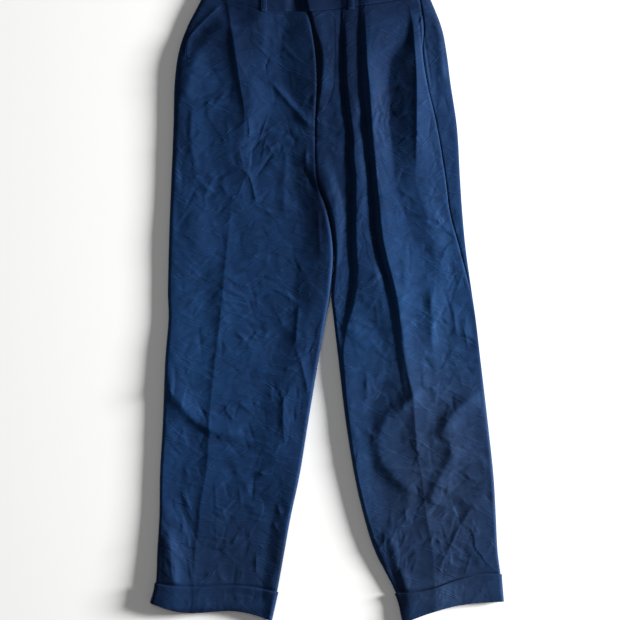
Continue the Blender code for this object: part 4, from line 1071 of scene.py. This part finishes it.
# %% Grids of the fronts
# Lines that the columns follow, from the side to the centre: columns before it, (y, x)
LINES = {
    "right": (
        (45, ((-540, -229), (-475, -226.6), (-405, -222.6), (-370, -217.4), (-337, -215),
              (-280, -204.3), (-207, -200.9), (-149, -195.9), (-93, -190), (-25, -181.5),
              (50, -174.7), (128, -166.2), (213, -159.4), (290, -146), (332, -144),
              (375, -147.5), (414, -151), (451, -156), (485, -161), (540, -169))),
        (60, ((-540, -135), (-420, -122), (-263, -96), (-59, -73), (94, -79), (200, -92),
              (366, -98), (540, -104))),
        (39, None)),
    "left": (
        (24, ((-540, 262), (-300, 250), (-150, 240), (0, 226), (33, 214.3), (69, 202.4),
              (105, 195.2), (140, 178.6), (176, 164.3), (224, 159.5), (319, 156),
              (366, 153.4), (417, 148), (540, 134))),
        (12, ((-540, 236), (-300, 226), (-150, 218), (0, 206), (40, 196), (103, 175.5),
              (154, 158.5), (213, 148.3), (281, 143.2), (341, 139.8), (392, 133),
              (438, 118), (540, 108))),
        (36, ((-540, 188), (-484, 184), (-407, 179), (-363, 170.4), (-339, 167),
              (-295, 162), (-251, 154.3), (-190, 149), (-145, 145.8), (-103, 134.7),
              (-45, 128.8), (9, 119.4), (45, 116), (81, 106), (128, 96), (176, 90.5),
              (224, 86), (271, 79), (319, 75.5), (366, 73.5), (417, 70), (468, 68.4),
              (540, 66))),
        (12, ((-540, 164), (-300, 146), (-165, 133), (-128, 126), (-103, 120.3),
              (-70, 119), (-38, 119), (-8, 113), (14, 110), (45, 105), (81, 93), (128, 85.4),
              (176, 79.8), (224, 76.2), (271, 69.1), (319, 64.3), (366, 59.6), (451, 58),
              (540, 56))),
        (33, ((-540, 146), (-419, 104), (-300, 68), (-190, 44), (-70, 30), (-8, 36),
              (18, 43), (50, 47), (81, 43), (128, 40.5), (181, 40.5), (218, 40.5),
              (252, 34), (281, 37.8), (319, 33.4), (366, 26), (451, 25), (540, 22))),
        (27, None)),
}
COLUMN_LEAST = 0.5             # mm, the narrowest column


def line_insets(half, v, stations):
    """Where a line crosses each row, as an inset. The row's y depends on the place on it,
    so the crossing is found in three rounds."""
    ys, xs = np.array(stations, float).T
    size = section(half, v)
    share = np.full(v.shape, 0.5)
    for _ in range(3):
        x = smooth(ys, xs, row_height(size, share))
        share = (x - size["out_x"]) * SIGNS[half] / size["width"]
    return share * size["width"]


def crowded(start, end, side, steps):
    """Insets from start to end, crowded towards 0: even in sqrt(i / side) as far as the
    side's reach, and even in i from there on."""
    def turn(i):
        i = i / side
        return np.where(i < 1, np.sqrt(np.maximum(i, 0.0)), 1 + (i - 1) / 2)
    turns = turn(start) + (turn(end) - turn(start)) * steps
    return side * np.where(turns < 1, turns ** 2, 2 * turns - 1)


def front_shares(half, v):
    """Columns across a front: crowded at the sides, even between its lines."""
    size = section(half, v)
    width, side = size["width"][:, None], size["side"][:, None]
    start = np.where(size["seam_in"] > 0, size["seam_in"] + SEAM_GAP / 2, 0.0)[:, None]
    groups = [start]
    for count, stations in LINES[half]:
        steps = np.arange(1, count + 1) / count
        if stations is None:
            groups.append(width - crowded(0 * width, width - start, side, 1 - steps))
            break
        end = line_insets(half, v, stations)[:, None]
        end = np.clip(end, start + COLUMN_LEAST * count, width - COLUMN_LEAST * count)
        if len(groups) == 1:
            groups.append(crowded(start, end, side, steps))
        else:
            groups.append(start + (end - start) * steps)
        start = end
    return np.concatenate(groups, axis=1) / width


def leg_rows(first, last, count):
    """Places from first to last, evenly apart on the cloth."""
    ends = np.interp((first, last), places, along_leg)
    return np.interp(np.linspace(*ends, count), along_leg, places)


def spread(v, across):
    """Each row's place, repeated for each of its columns."""
    return v[:, None] + np.zeros_like(across)


for half in LINES:
    gaps = np.diff(front_shares(half, places[3:14]) * section(half, places[3:14])["width"][:, None])
    print(half, "front, columns:", gaps.shape[1], "mm apart:", gaps.min().round(2), "to",
          gaps.max().round(1))

# %% [markdown]
# A front's face is the plain surface with its folds and its small relief. Its inner face
# is the plain one again, one thickness further in than the deepest of them near by.

# %% The two fronts
CLOTH = 1.2                    # mm, one layer with the air in it
CREST_REACH = 4                # steps over which a crest is told from a hollow
HEM_INSIDE = 0.04              # the leg ends inside its cuff
FRONT_ROWS = 532


def cloth_shell(name, full, plain, away, thickness, finish, ring=False):
    """The relief is what full has over plain. The inner face is plain, moved in by the
    thickness, and then by the relief's lowest value near by, or its highest on an
    underside."""
    total = full[..., 2] - plain[..., 2]
    lowest = over_neighbours(total, SKIP, np.minimum)
    highest = -over_neighbours(-total, SKIP, np.minimum)
    inner = plain - thickness * away
    inner[..., 2] += np.where(away[..., 2] > 0, lowest, highest)
    # Relief above its surroundings, for the colour: crests paler as wear, hollows darker as painted
    # shade.
    around = over_neighbours(total, CREST_REACH, np.add) / (2 * CREST_REACH + 1) ** 2
    return shell(name, full, inner[::SKIP, ::SKIP], total - around, finish, ring)


fronts = {}
for half in ("right", "left"):
    v = leg_rows(HEM_INSIDE, WAIST_SEAM, FRONT_ROWS)
    shares = front_shares(half, v)
    v = spread(v, shares)
    top = front(half, v, shares)
    top[..., 2] += relief(half, v, shares, top[..., 0], top[..., 1])
    fronts[half] = cloth_shell("front_%s_cloth" % half, top, front(half, v, shares, False),
                               normals(front, half, v, shares, folds=False), CLOTH, navy_twill)

# %% [markdown]
# A back lies on the floor, and turns up at the side as far as the side seam. On the left
# leg that seam lies up to 4 cm inside the silhouette, because the leg has rolled a little,
# so a strip of the back shows beside it. Its underside is flat, with shallow hollows where
# the cloth doesn't touch the floor.

# %% The two backs
BACK_ROWS = {"right": 265, "left": 424}
TURN_COLUMNS = {"right": 30, "left": 72}
FLAT_COLUMNS, INNER_COLUMNS = 45, 12
HOLLOW = 1.3                   # mm, the deepest hollow under the back
HOLLOW_FADE, HOLLOW_SIZE = 20.0, 70.0
HOLLOW_START, HOLLOW_RISE, HOLLOW_END = 1.1, 0.3, 0.5          # sections, from hem to waist
HOLLOW_NOISE, HOLLOW_STEP = 0.02, 0.3          # of the noise: where one begins, and to its full depth


def under_grids(half, v, last_inset, turn_columns):
    """Turns round the side edge, as far as an inset on the front, and shares across the
    flat of the back: even in between, and even in the root of the distance at its end."""
    size = section(half, v)
    side, end = size["side"], np.maximum(last_inset, 0.0) / size["side"]
    last = np.where(end < 1, np.sqrt(end), 1 + (end - 1) / 2)[:, None]
    turn = -1.0 + (last + 1.0) * np.arange(turn_columns + 1) / turn_columns
    turn = np.where(turn < 1, turn, np.sqrt(np.maximum(2 * turn - 1, 0.0)))
    edge = (side / size["back_width"])[:, None]
    flat = edge + (1 - 2 * edge) * np.arange(1, FLAT_COLUMNS) / FLAT_COLUMNS
    root = 1 - np.arange(INNER_COLUMNS + 1) / INNER_COLUMNS
    return turn, np.concatenate([flat, 1 - edge * root ** 2], axis=1)


def hollows(half, v, share, x, y):
    """Up to HOLLOW above the floor where slow noise is high, and 0 near the edges."""
    size = section(half, v)
    inset = share * size["back_width"]
    inside = eased((inset - size["side"]) / HOLLOW_FADE)
    inside *= eased((size["back_width"] - inset - size["side"]) / HOLLOW_FADE)
    inside *= eased((v - HOLLOW_START) / HOLLOW_RISE) * eased((WAIST_SEAM - v) / HOLLOW_END)
    high = eased((noise(x, y, HOLLOW_SIZE, 11) - HOLLOW_NOISE) / HOLLOW_STEP)
    return HOLLOW * inside * high


def under_surface(half, v, last_inset, turn_columns, folds=True, small=True):
    """Points and normals of the side edge and the underside, from the side seam to the
    centre, with or without their relief."""
    turn, shares = under_grids(half, v, last_inset, turn_columns)
    turned, flat_v = spread(v, turn), spread(v, shares)
    side = side_edge(half, turned, turn, folds)
    under = back(half, flat_v, shares)
    if small:
        size = section(half, turned)
        over = relief(half, turned, size["side"] * turn ** 2 / size["width"], side[..., 0],
                      side[..., 1])
        side[..., 2] += np.where(turn > 0, over * eased(turn / 0.5), 0.0)
        under[..., 2] += hollows(half, flat_v, shares, under[..., 0], under[..., 1])
    away = np.concatenate([normals(side_edge, half, turned, turn, folds=False)[:, ::-1],
                           normals(back, half, flat_v, shares)], axis=1)
    return np.concatenate([side[:, ::-1], under], axis=1), away


backs = {}
for half in ("right", "left"):
    v = leg_rows(HEM_INSIDE, WAIST_SEAM, BACK_ROWS[half])
    last = section(half, v)["seam_in"] - SEAM_GAP / 2
    full, away = under_surface(half, v, last, TURN_COLUMNS[half])
    plain, away = under_surface(half, v, last, TURN_COLUMNS[half], folds=False, small=False)
    backs[half] = cloth_shell("back_%s_cloth" % half, full, plain, away, CLOTH, navy_twill)

# %% [markdown]
# A turn-up is the end of the leg folded outwards, so it is a ring round the leg. It
# stands a little proud of it, and its top edge opens by less than a millimetre, which is
# what draws the dark line above it.

# %% The two turned-up cuffs
CUFF = 1.6
CUFF_ROWS = 31
CUFF_TURNS = 37                # intervals round the side edge: the ring has 240 columns
CUFF_OPENING = 0.7
CUFF_CRINKLES, CUFF_UNEVENNESS = 0.5, 0.7      # of the leg's
UPWARDS = 0.7                  # a cuff's face has its creases where it looks up at least so much


def cuff_distance(v, facing):
    """From the leg to the cuff's outer face: more at its top edge, but not on the floor."""
    return SEAM_GAP + CUFF + CUFF_OPENING * eased((v - 0.7) / 0.3) * eased((facing + 0.2) / 0.6)


cuffs = {}
for half in ("right", "left"):
    v = np.linspace(0.0, 1.0, CUFF_ROWS)
    shares = front_shares(half, v)
    over_v = spread(v, shares)
    over = front(half, over_v, shares)
    over_away = normals(front, half, over_v, shares)
    under, under_away = under_surface(half, v, np.zeros(CUFF_ROWS), CUFF_TURNS, small=False)
    plain = np.concatenate([over, under[:, ::-1]], axis=1)
    away = np.concatenate([over_away, under_away[:, ::-1]], axis=1)
    distance = cuff_distance(spread(v, plain[..., 0]), away[..., 2])
    plain = plain + distance[..., None] * away
    full = plain.copy()
    ripple = crinkle_height(plain[..., 0], plain[..., 1]) * CUFF_CRINKLES
    ripple = ripple + unevenness(plain[..., 0], plain[..., 1]) * CUFF_UNEVENNESS
    full[..., 2] += np.where(away[..., 2] > UPWARDS, ripple, 0.0)
    cuffs[half] = cloth_shell("cuff_%s_cloth" % half, full, plain, away, CUFF - 0.2, navy_twill,
                              ring=True)

# %% [markdown]
# The waistband is a stiffened strip, sewn in two halves that meet at the centre back.
# Each runs round the side to the fly, and the right one goes on under the left one, where
# the hook is. Two rows of stitching press a shallow groove near its edges.

# %% The waistband
BAND = 2.4
BAND_HEIGHT = 40.0
BAND_ROWS = 46
BAND_TURNS = 30
UNDERLAP_END = -2.0            # where the right half stops, under the left one
UNDERLAP_DROP = 4.2
UNDERLAP_START = -72.0
UNDERLAP_SLOPE = 22.0
UNDERLAP_COLUMNS = 21
EDGE_STITCH = 2.2              # mm from the band's edges to its stitching
BAND_CROWN, CROWN_REACH = 0.5, 9.0             # the band is a little thicker between its edges
BAND_GROOVE, BAND_ROLL, GROOVE_WIDTH = 0.35, 0.7, 0.9
BAND_UNEVENNESS = 0.5          # of the leg's


def band_relief(v, x, y):
    """A crown, less a roll at each edge and a groove along each row of stitching, plus a
    share of the cloth's unevenness."""
    height = (v - WAIST_SEAM) * BAND_HEIGHT
    from_edge = np.minimum(height, BAND_HEIGHT - height)
    groove = BAND_GROOVE * np.exp(-((from_edge - EDGE_STITCH) / GROOVE_WIDTH) ** 2)
    roll = BAND_ROLL * np.exp(-(from_edge / GROOVE_WIDTH) ** 2)
    crown = BAND_CROWN * eased(from_edge / CROWN_REACH)
    return crown - groove - roll + BAND_UNEVENNESS * unevenness(x, y)


def band_surface(half, v, folds=True):
    """Points and normals from the centre back, round the side, to the end at the fly."""
    last = section(half, v)["seam_in"]
    under, under_away = under_surface(half, v, last, BAND_TURNS, folds, small=False)
    shares = front_shares(half, v)[:, 1:]
    if half == "right":
        size = section(half, v)
        reach = ((UNDERLAP_END - size["in_x"]) / size["width"])[:, None]
        beyond = 1 + reach * np.arange(1, UNDERLAP_COLUMNS + 1) / UNDERLAP_COLUMNS
        shares = np.concatenate([shares, beyond], axis=1)
    over = front(half, spread(v, shares), shares, folds)
    if half == "right":
        over[..., 2] -= UNDERLAP_DROP * eased((over[..., 0] - UNDERLAP_START) / UNDERLAP_SLOPE)
    over_away = normals(front, half, spread(v, shares), shares, folds=False)
    return (np.concatenate([under[:, ::-1], over], axis=1),
            np.concatenate([under_away[:, ::-1], over_away], axis=1))


bands, band_tops = {}, {}
for half in ("right", "left"):
    v = WAIST_SEAM + np.linspace(SEAM_GAP / BAND_HEIGHT, 1.0, BAND_ROWS)
    full, away = band_surface(half, v)
    plain, away = band_surface(half, v, folds=False)
    level = eased((away[..., 2] - 0.3) / 0.5)
    full[..., 2] += level * band_relief(spread(v, full[..., 0]), full[..., 0], full[..., 1])
    bands[half] = cloth_shell("waistband_%s_cloth" % half, full, plain, away, BAND, navy_twill)
    band_tops[half] = full, away

# %% [markdown]
# A belt loop is a narrow folded strip, held at each end by a short bar of two dense rows
# of stitches. Between the bars it stands off the band, and two shallow grooves run along
# it, where it is sewn to itself.

# %% The belt loops
LOOP = 1.2
LOOP_SLACK = 0.5
LOOP_WIDTH = 10.0
LOOP_OVERHANG = 5.0
LOOP_BOW, LOOP_EDGE, LOOP_GROOVE = 0.6, 0.5, 0.3
LOOP_ROWS, LOOP_COLUMNS = 46, 19
BOW_START, BOW_LENGTH = 0.06, 0.88             # along the loop
BARS, BAR_REACH = (0.05, 0.95), 0.03
SEWN_AT, SEWN_REACH = 0.62, 0.12               # across it, from its middle
LOOPS = (
    ("belt_loop_front_right", "right", front, -107.0),
    ("belt_loop_front_left", "left", front, 41.5),
    ("belt_loop_back_right", "right", back, -128.0),
    ("belt_loop_back_left", "left", back, 92.0),
    ("belt_loop_back_centre", "right", back, BACK_SEAM_X),
)


def loop_profile(along, across):
    """How far the loop's face stands out: a bow between the bars, rounded long edges and
    two grooves of stitching. along runs from 0 to 1, across from -1 to 1."""
    bow = LOOP_BOW * np.sin(math.pi * np.clip((along - BOW_START) / BOW_LENGTH, 0.0, 1.0)) ** 0.5
    edges = LOOP_EDGE * np.abs(across) ** 6
    grooves = LOOP_GROOVE * np.exp(-((np.abs(across) - SEWN_AT) / SEWN_REACH) ** 2)
    bars = LOOP_GROOVE * sum(np.exp(-((along - end) / BAR_REACH) ** 2) for end in BARS)
    return LOOP_SLACK + LOOP + bow - edges - grooves - bars


loops, loop_tops = {}, {}
for name, half, surface, x in LOOPS:
    along = np.linspace(0.0, 1.0, LOOP_ROWS)
    v = WAIST_SEAM - LOOP_OVERHANG / BAND_HEIGHT + along * (1 + LOOP_OVERHANG / BAND_HEIGHT)
    size = section(half, v)
    width = size["width"] if surface is front else size["back_width"]
    across = np.linspace(-1.0, 1.0, LOOP_COLUMNS)[None, :]
    shares = ((x - size["out_x"]) * SIGNS[half])[:, None] + across * LOOP_WIDTH / 2
    shares = shares / width[:, None]
    v = spread(v, shares)
    away = normals(surface, half, v, shares)
    profile = loop_profile(spread(along, shares), across)
    plain = surface(half, v, shares) + (LOOP_SLACK + LOOP) * away
    full = surface(half, v, shares) + profile[..., None] * away
    if surface is back:
        plain[..., 2] = 0.0
        full[..., 2] = 0.4 - 0.4 * profile / profile.max()
    loops[name] = cloth_shell(name + "_cloth", full, plain, away, LOOP, navy_twill)
    loop_tops[name] = full, away

# %% [markdown]
# The stitching is strong navy thread, hardly paler than the cloth, and it stands a little
# proud of it. A single row runs along both edges of the waistband and down the fly, and a
# double one along each pocket. Bars of dense stitches, laid side by side, close the ends
# of the pockets and of the fly, and hold the belt loops. A stitch is a small capsule with
# six sides: two points and two rings of six, placed all at once for a whole piece.

# %% Stitches
STITCH, PITCH, THREAD = 2.9, 3.8, 0.36      # mm: length, distance and radius of a stitch
BAR_STITCH, BAR_PITCH = 2.4, 0.8
PLY = 1.2 * MM                 # from one twist of the thread to the next
CAPSULE_SIDES = 6
CAPSULE = ((-1.0, 0.0), (-0.7, 1.0), (0.7, 1.0), (1.0, 0.0))     # along, radius


def on_front(half, points):
    """Places on a front below a curve drawn in pixels, and the cloth's normals there. The
    place along the leg is found by a few rounds, because the rows of the cloth bend."""
    path = curve_through(on_cloth(points), CREASE_STEP)
    rise = 0.0
    for _ in range(4):
        v = np.interp(path[:, 1] - rise, OUTLINES[half][:, 1], places)
        size = section(half, v)
        share = (path[:, 0] - size["out_x"]) * SIGNS[half] / size["width"]
        rise = row_height(size, share) - size["out_y"]
    top = front(half, v, share)
    top[:, 2] += relief(half, v, share, top[:, 0], top[:, 1])
    return top, normals(front, half, v, share)


def stitch_row(path, away, length, pitch, turned=False):
    """Centres, directions and normals of the stitches along a path. turned: side by side."""
    run = np.concatenate([[0.0], np.cumsum(np.linalg.norm(np.diff(path, axis=0), axis=1))])
    at = np.arange(pitch / 2, run[-1], pitch)
    ahead, behind, normal = (np.stack([np.interp(at + step, run, field[:, i]) for i in range(3)],
                                      axis=-1)
                             for step, field in ((length / 2, path), (-length / 2, path),
                                                 (0.0, away)))
    along = ahead - behind
    along /= np.linalg.norm(along, axis=1, keepdims=True)
    if turned:
        along = np.cross(normal, along)
    return (ahead + behind) / 2, along * length / 2, normal


def sewn(name, rows, finish):
    """One mesh of capsules: centre + t * along + r * thread * (cos * normal + sin * side)."""
    centre, along, normal = (np.concatenate(parts)[:, None] for parts in zip(*rows))
    side = np.cross(normal, along)
    side /= np.linalg.norm(side, axis=-1, keepdims=True)
    angles = np.arange(CAPSULE_SIDES) * 2 * math.pi / CAPSULE_SIDES
    t, r, angle = (np.concatenate(parts)[:, None] for parts in zip(*(
        (np.full(count, t), np.full(count, r), angles[:count])
        for (t, r), count in zip(CAPSULE, (1, CAPSULE_SIDES, CAPSULE_SIDES, 1)))))
    points = centre + t * along + THREAD * r * (np.cos(angle) * normal + np.sin(angle) * side)
    size = points.shape[1]
    first = 1 + np.arange(CAPSULE_SIDES)
    after = np.roll(first, -1)
    far_first, far_after = first + CAPSULE_SIDES, after + CAPSULE_SIDES
    triangles = np.concatenate([np.stack([0 * first, first, after], axis=-1),
                                np.stack([0 * first + size - 1, far_after, far_first], axis=-1)])
    quads = np.stack([first, far_first, far_after, after], axis=-1)
    start = np.arange(len(points))[:, None, None] * size
    faces = (start + triangles).reshape(-1, 3).tolist() + (start + quads).reshape(-1, 4).tolist()
    print(name, "stitches", len(points))
    return new_object(name, points.reshape(-1, 3), faces, finish)


def sewing_thread(name, dark, pale):
    """Spun polyester thread: two twisted plies show as slanting bands, matt like the cloth."""
    made, shader = new_material(name)
    place = add_node(made, "TexCoord", "Object")
    plies = add_node(made, "TexWave", "Fac", {
        "Vector": place, "Scale": WAVE / PLY, "Distortion": 0.5}, bands_direction="DIAGONAL")
    feed(made, shader, {
        "Base Color": blend(made, plies, dark, pale), "Normal": bump(made, 0.5, 0.1 * MM, plies),
        "Roughness": 0.7, "IOR": 1.5, "Specular IOR Level": 0.15, "Specular Tint": NAVY_GLANCE})
    return made


navy_thread = sewing_thread("navy sewing thread", "#0f2340", "#1c3760")
SEAMS = {          # on each front, in pixels: rows of single stitches, then bars
    "right": (
        (((221, 6), (209, 16), (198, 27), (188.5, 39), (184.5, 60)),
         ((224.5, 8), (212, 18.5), (201.5, 29), (192, 41), (188, 60))),
        (((184, 61.5), (189, 62)),)),
    "left": (
        (((418, 10), (421, 40), (424, 60), (429, 94)),
         ((421.6, 8), (424.6, 40), (427.6, 60), (432.4, 92)),
         ((333, 10), (334, 60), (332, 90), (325, 108), (318, 118))),
        (((424.5, 88), (431.5, 86.5)), ((424.8, 91), (432, 89.5)), ((317, 118), (319, 123)))),
}
stitches = {}
for half, (lines, bars) in SEAMS.items():
    rows = [stitch_row(*on_front(half, line), STITCH, PITCH) for line in lines]
    rows += [stitch_row(*on_front(half, bar), BAR_STITCH, BAR_PITCH, turned=True)
             for bar in bars]
    stitches["front_%s_stitches" % half] = sewn("front_%s_stitches" % half, rows, navy_thread)
    full, away = band_tops[half]
    edge_row = round(EDGE_STITCH / BAND_HEIGHT * (BAND_ROWS - 1))
    rows = [stitch_row(full[row], away[row], STITCH, PITCH) for row in (edge_row, -1 - edge_row)]
    stitches["band_%s_stitches" % half] = sewn("band_%s_stitches" % half, rows, navy_thread)
rows = [stitch_row(full[row], away[row], BAR_STITCH, BAR_PITCH, turned=True)
        for full, away in loop_tops.values() for row in (2, 4, -5, -3)]
stitches["loop_stitches"] = sewn("loop_stitches", rows, navy_thread)

# %% [markdown]
# Behind the fly lies the shield, a doubled strip that keeps the zip off the shirt. Only
# a sliver of it shows, in the shadow between the two fronts. It hangs under the right
# front, so it follows that front's folds.

# %% The fly shield
SHIELD = 1.6
SHIELD_GAP = 0.7
FLY_TOP = 496.0
SHIELD_FOOT = 318.0
SHIELD_EDGES = (-58.0, 12.0)
FOOT_WIDTH, FOOT_LENGTH = 0.6, 40.0
SHIELD_ROWS, SHIELD_COLUMNS = 91, 37
SHIELD_FALL = 4.6              # how far the shield sinks behind the fly
FALL_REACH = (34.0, 60.0)      # mm of the fall, to the right leg's side and to the left's
SHIELD_UNDER = 2.0             # room for the creases of the front that lies on it


def shield_height(x, y):
    """The right front with its folds, less its cloth, and less a trough along the fly."""
    v = np.interp(y, OUTLINES["right"][:, 3], places)
    size = section("right", v)
    edge = OUTLINES["right"][LEGS_PART:]
    across = x - smooth(edge[:, 3], edge[:, 2], y)
    fall = SHIELD_FALL * np.exp(-(np.abs(across) / np.where(across < 0, *FALL_REACH)) ** 1.5)
    top = size["top"] + swell_height(x, y) + fold_height("right", x, y)
    return np.maximum(size["lift"] + top - CLOTH - SHIELD_GAP - SHIELD_UNDER - fall, LOWEST)


y = np.linspace(SHIELD_FOOT, FLY_TOP, SHIELD_ROWS)[:, None]
narrow = FOOT_WIDTH + (1 - FOOT_WIDTH) * rounded((y - SHIELD_FOOT) / FOOT_LENGTH)
x = SHIELD_EDGES[0] + (SHIELD_EDGES[1] - SHIELD_EDGES[0]) * narrow * np.linspace(
    0.0, 1.0, SHIELD_COLUMNS)
y = y + np.zeros_like(x)
full = np.stack([x, y, shield_height(x, y)], axis=-1)
upwards = np.zeros_like(full) + np.array([0.0, 0.0, 1.0])
# The shield's twill is a darker, greyer copy of the navy one: painted shade, for the shadow between
# the fronts.
painted_shade_twill = cotton_twill("shadowed navy twill", "#0c1626", "#101d33", "#1c2f4f")
shield = cloth_shell("fly_shield_cloth", full, full, upwards, SHIELD, painted_shade_twill)

# %% [markdown]
# Each side pocket is a bag of thin plain cotton under the front. No light reaches it, but
# it is made all the same, with its rounded foot, so that the model has it where it belongs.

# %% The pocket bags
POCKET_BAG = 1.4
POCKET_FOOT, POCKET_TOP = 245.0, 512.0
POCKET_INNER = {"right": -106.5, "left": 94.5}
POCKET_INSET = 6.0
POCKET_CORNER = 70.0           # mm from the foot to where the bag has its full width
POCKET_ROOM = 1.9              # clear of the front's deepest creases near by
POCKET_ROWS, POCKET_COLUMNS = 88, 40
PLAIN_WEAVE = 2.4 * MM         # real threads are 0.4 mm apart: coarser, so that they show


def plain_cotton(name, pale, dark):
    """Thin plain-woven pocketing: matt, off-white, a checked weave of two waves."""
    made, shader = new_material(name)
    cloth = add_node(made, "UVMap", "UV", uv_map="cloth")
    weave = [add_node(made, "TexWave", "Fac", {
        "Vector": cloth, "Scale": WAVE / PLAIN_WEAVE, "Distortion": 0.3}, bands_direction=axis)
        for axis in ("X", "Y")]
    checks = calculate(made, "MULTIPLY", *weave)
    feed(made, shader, {
        "Base Color": blend(made, checks, dark, pale), "Roughness": 0.85, "IOR": 1.5,
        "Normal": bump(made, 0.4, 0.2 * MM, checks)})
    return made


pocketing = plain_cotton("pocketing cotton", "#cfcdc6", "#b4b2ab")
pockets = {}
for half in ("right", "left"):
    y = np.linspace(POCKET_FOOT, POCKET_TOP, POCKET_ROWS)[:, None]
    v = np.interp(y, OUTLINES[half][:, 1], places)
    size = section(half, v)
    outer = size["out_x"] + SIGNS[half] * (size["seam_in"] + POCKET_INSET)
    inner = POCKET_INNER[half]
    narrow = 0.5 + 0.5 * rounded((y - POCKET_FOOT) / POCKET_CORNER)
    across = np.linspace(-0.5, 0.5, POCKET_COLUMNS) * narrow
    x = (outer + inner) / 2 + (inner - outer) * across
    y = y + np.zeros_like(x)
    share = (x - size["out_x"]) * SIGNS[half] / size["width"]
    v = v + np.zeros_like(x)
    top = front(half, v, share)
    under = np.minimum(relief(half, v, share, x, y), 0.0)
    top[..., 2] += over_neighbours(under, 4, np.minimum) - CLOTH - SEAM_GAP - POCKET_ROOM
    upwards = np.zeros_like(top) + np.array([0.0, 0.0, 1.0])
    pockets[half] = cloth_shell("pocket_%s_bag" % half, top, top, upwards, POCKET_BAG, pocketing)

# %% [markdown]
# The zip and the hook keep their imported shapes, which are right, and get real finishes.
# The zip is a woven tape with a row of brass teeth down its middle. Its pattern is read
# from Object coordinates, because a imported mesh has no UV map.

# %% Zip and hook
ZIP_MIDDLE = (1.5 * MM, 0.0, 0.0)
TEETH_HALF_WIDTH = 2.3 * MM
TOOTH_PITCH = 2.4 * MM         # real teeth are 1.5 mm apart: coarser, so that they show

zip_finish, zip_shader = new_material("brass zip on navy tape")
middled = add_node(zip_finish, "Mapping", "Vector", {
    "Vector": add_node(zip_finish, "TexCoord", "Object"), "Location": ZIP_MIDDLE},
    vector_type="TEXTURE")
sideways = add_node(zip_finish, "SeparateXYZ", "X", {"Vector": middled})
toothed = calculate(zip_finish, "LESS_THAN", calculate(zip_finish, "ABSOLUTE", sideways),
                    TEETH_HALF_WIDTH)
teeth = add_node(zip_finish, "TexWave", "Fac", {
    "Vector": middled, "Scale": WAVE / TOOTH_PITCH}, bands_direction="Y")
brass = blend(zip_finish, teeth, "#6e5a34", "#b89a5e")
feed(zip_finish, zip_shader, {
    "Base Color": blend(zip_finish, toothed, "#152238", brass), "Metallic": toothed,
    "Roughness": remap(zip_finish, toothed, to_low=0.85, to_high=0.38),
    "Normal": bump(zip_finish, 0.7, 0.4 * MM, teeth)})

hook_finish, hook_shader = new_material("pressed nickelled steel")
brushed = add_node(hook_finish, "Mapping", "Vector", {
    "Vector": add_node(hook_finish, "TexCoord", "Object"), "Scale": (1.0, 12.0, 1.0)})
scratches = add_node(hook_finish, "TexNoise", "Fac", {
    "Vector": brushed, "Scale": 1 / (4.0 * MM), "Detail": 3.0})
feed(hook_finish, hook_shader, {
    "Base Color": blend(hook_finish, scratches, "#9a9a98", "#b9b9b6"), "Metallic": 1.0,
    "Roughness": remap(hook_finish, scratches, to_low=0.26, to_high=0.44)})

for node, finish in (("fly_zip", zip_finish), ("waist_hook", hook_finish)):
    slots = bpy.data.objects[node].material_slots
    for slot in slots:
        slot.material = finish
    print(node, "keeps its packed mesh, material slots:", len(slots))

# %% [markdown]
# Now each piece is tied to the imported model. It rides on the one body there is and stands
# for its solid, which is hidden.


def settle(piece, node):
    """Ride on the one body and stand for a solid, which is hidden."""
    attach(piece, "root")
    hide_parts(node)


for half in ("right", "left"):
    settle(fronts[half], "front_" + half)
    settle(backs[half], "back_" + half)
    settle(cuffs[half], "cuff_" + half)
    settle(bands[half], "waistband_" + half)
    settle(pockets[half], "pocket_" + half)
for name, piece in loops.items():
    settle(piece, name)
settle(shield, "fly_shield")
for name, piece in stitches.items():
    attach(piece, "root")
sheets = [*fronts.values(), *backs.values(), *cuffs.values(), *bands.values(), *pockets.values(),
          *loops.values(), shield]
print("sheets:", len(sheets), "and rows of stitches on", len(stitches), "pieces")
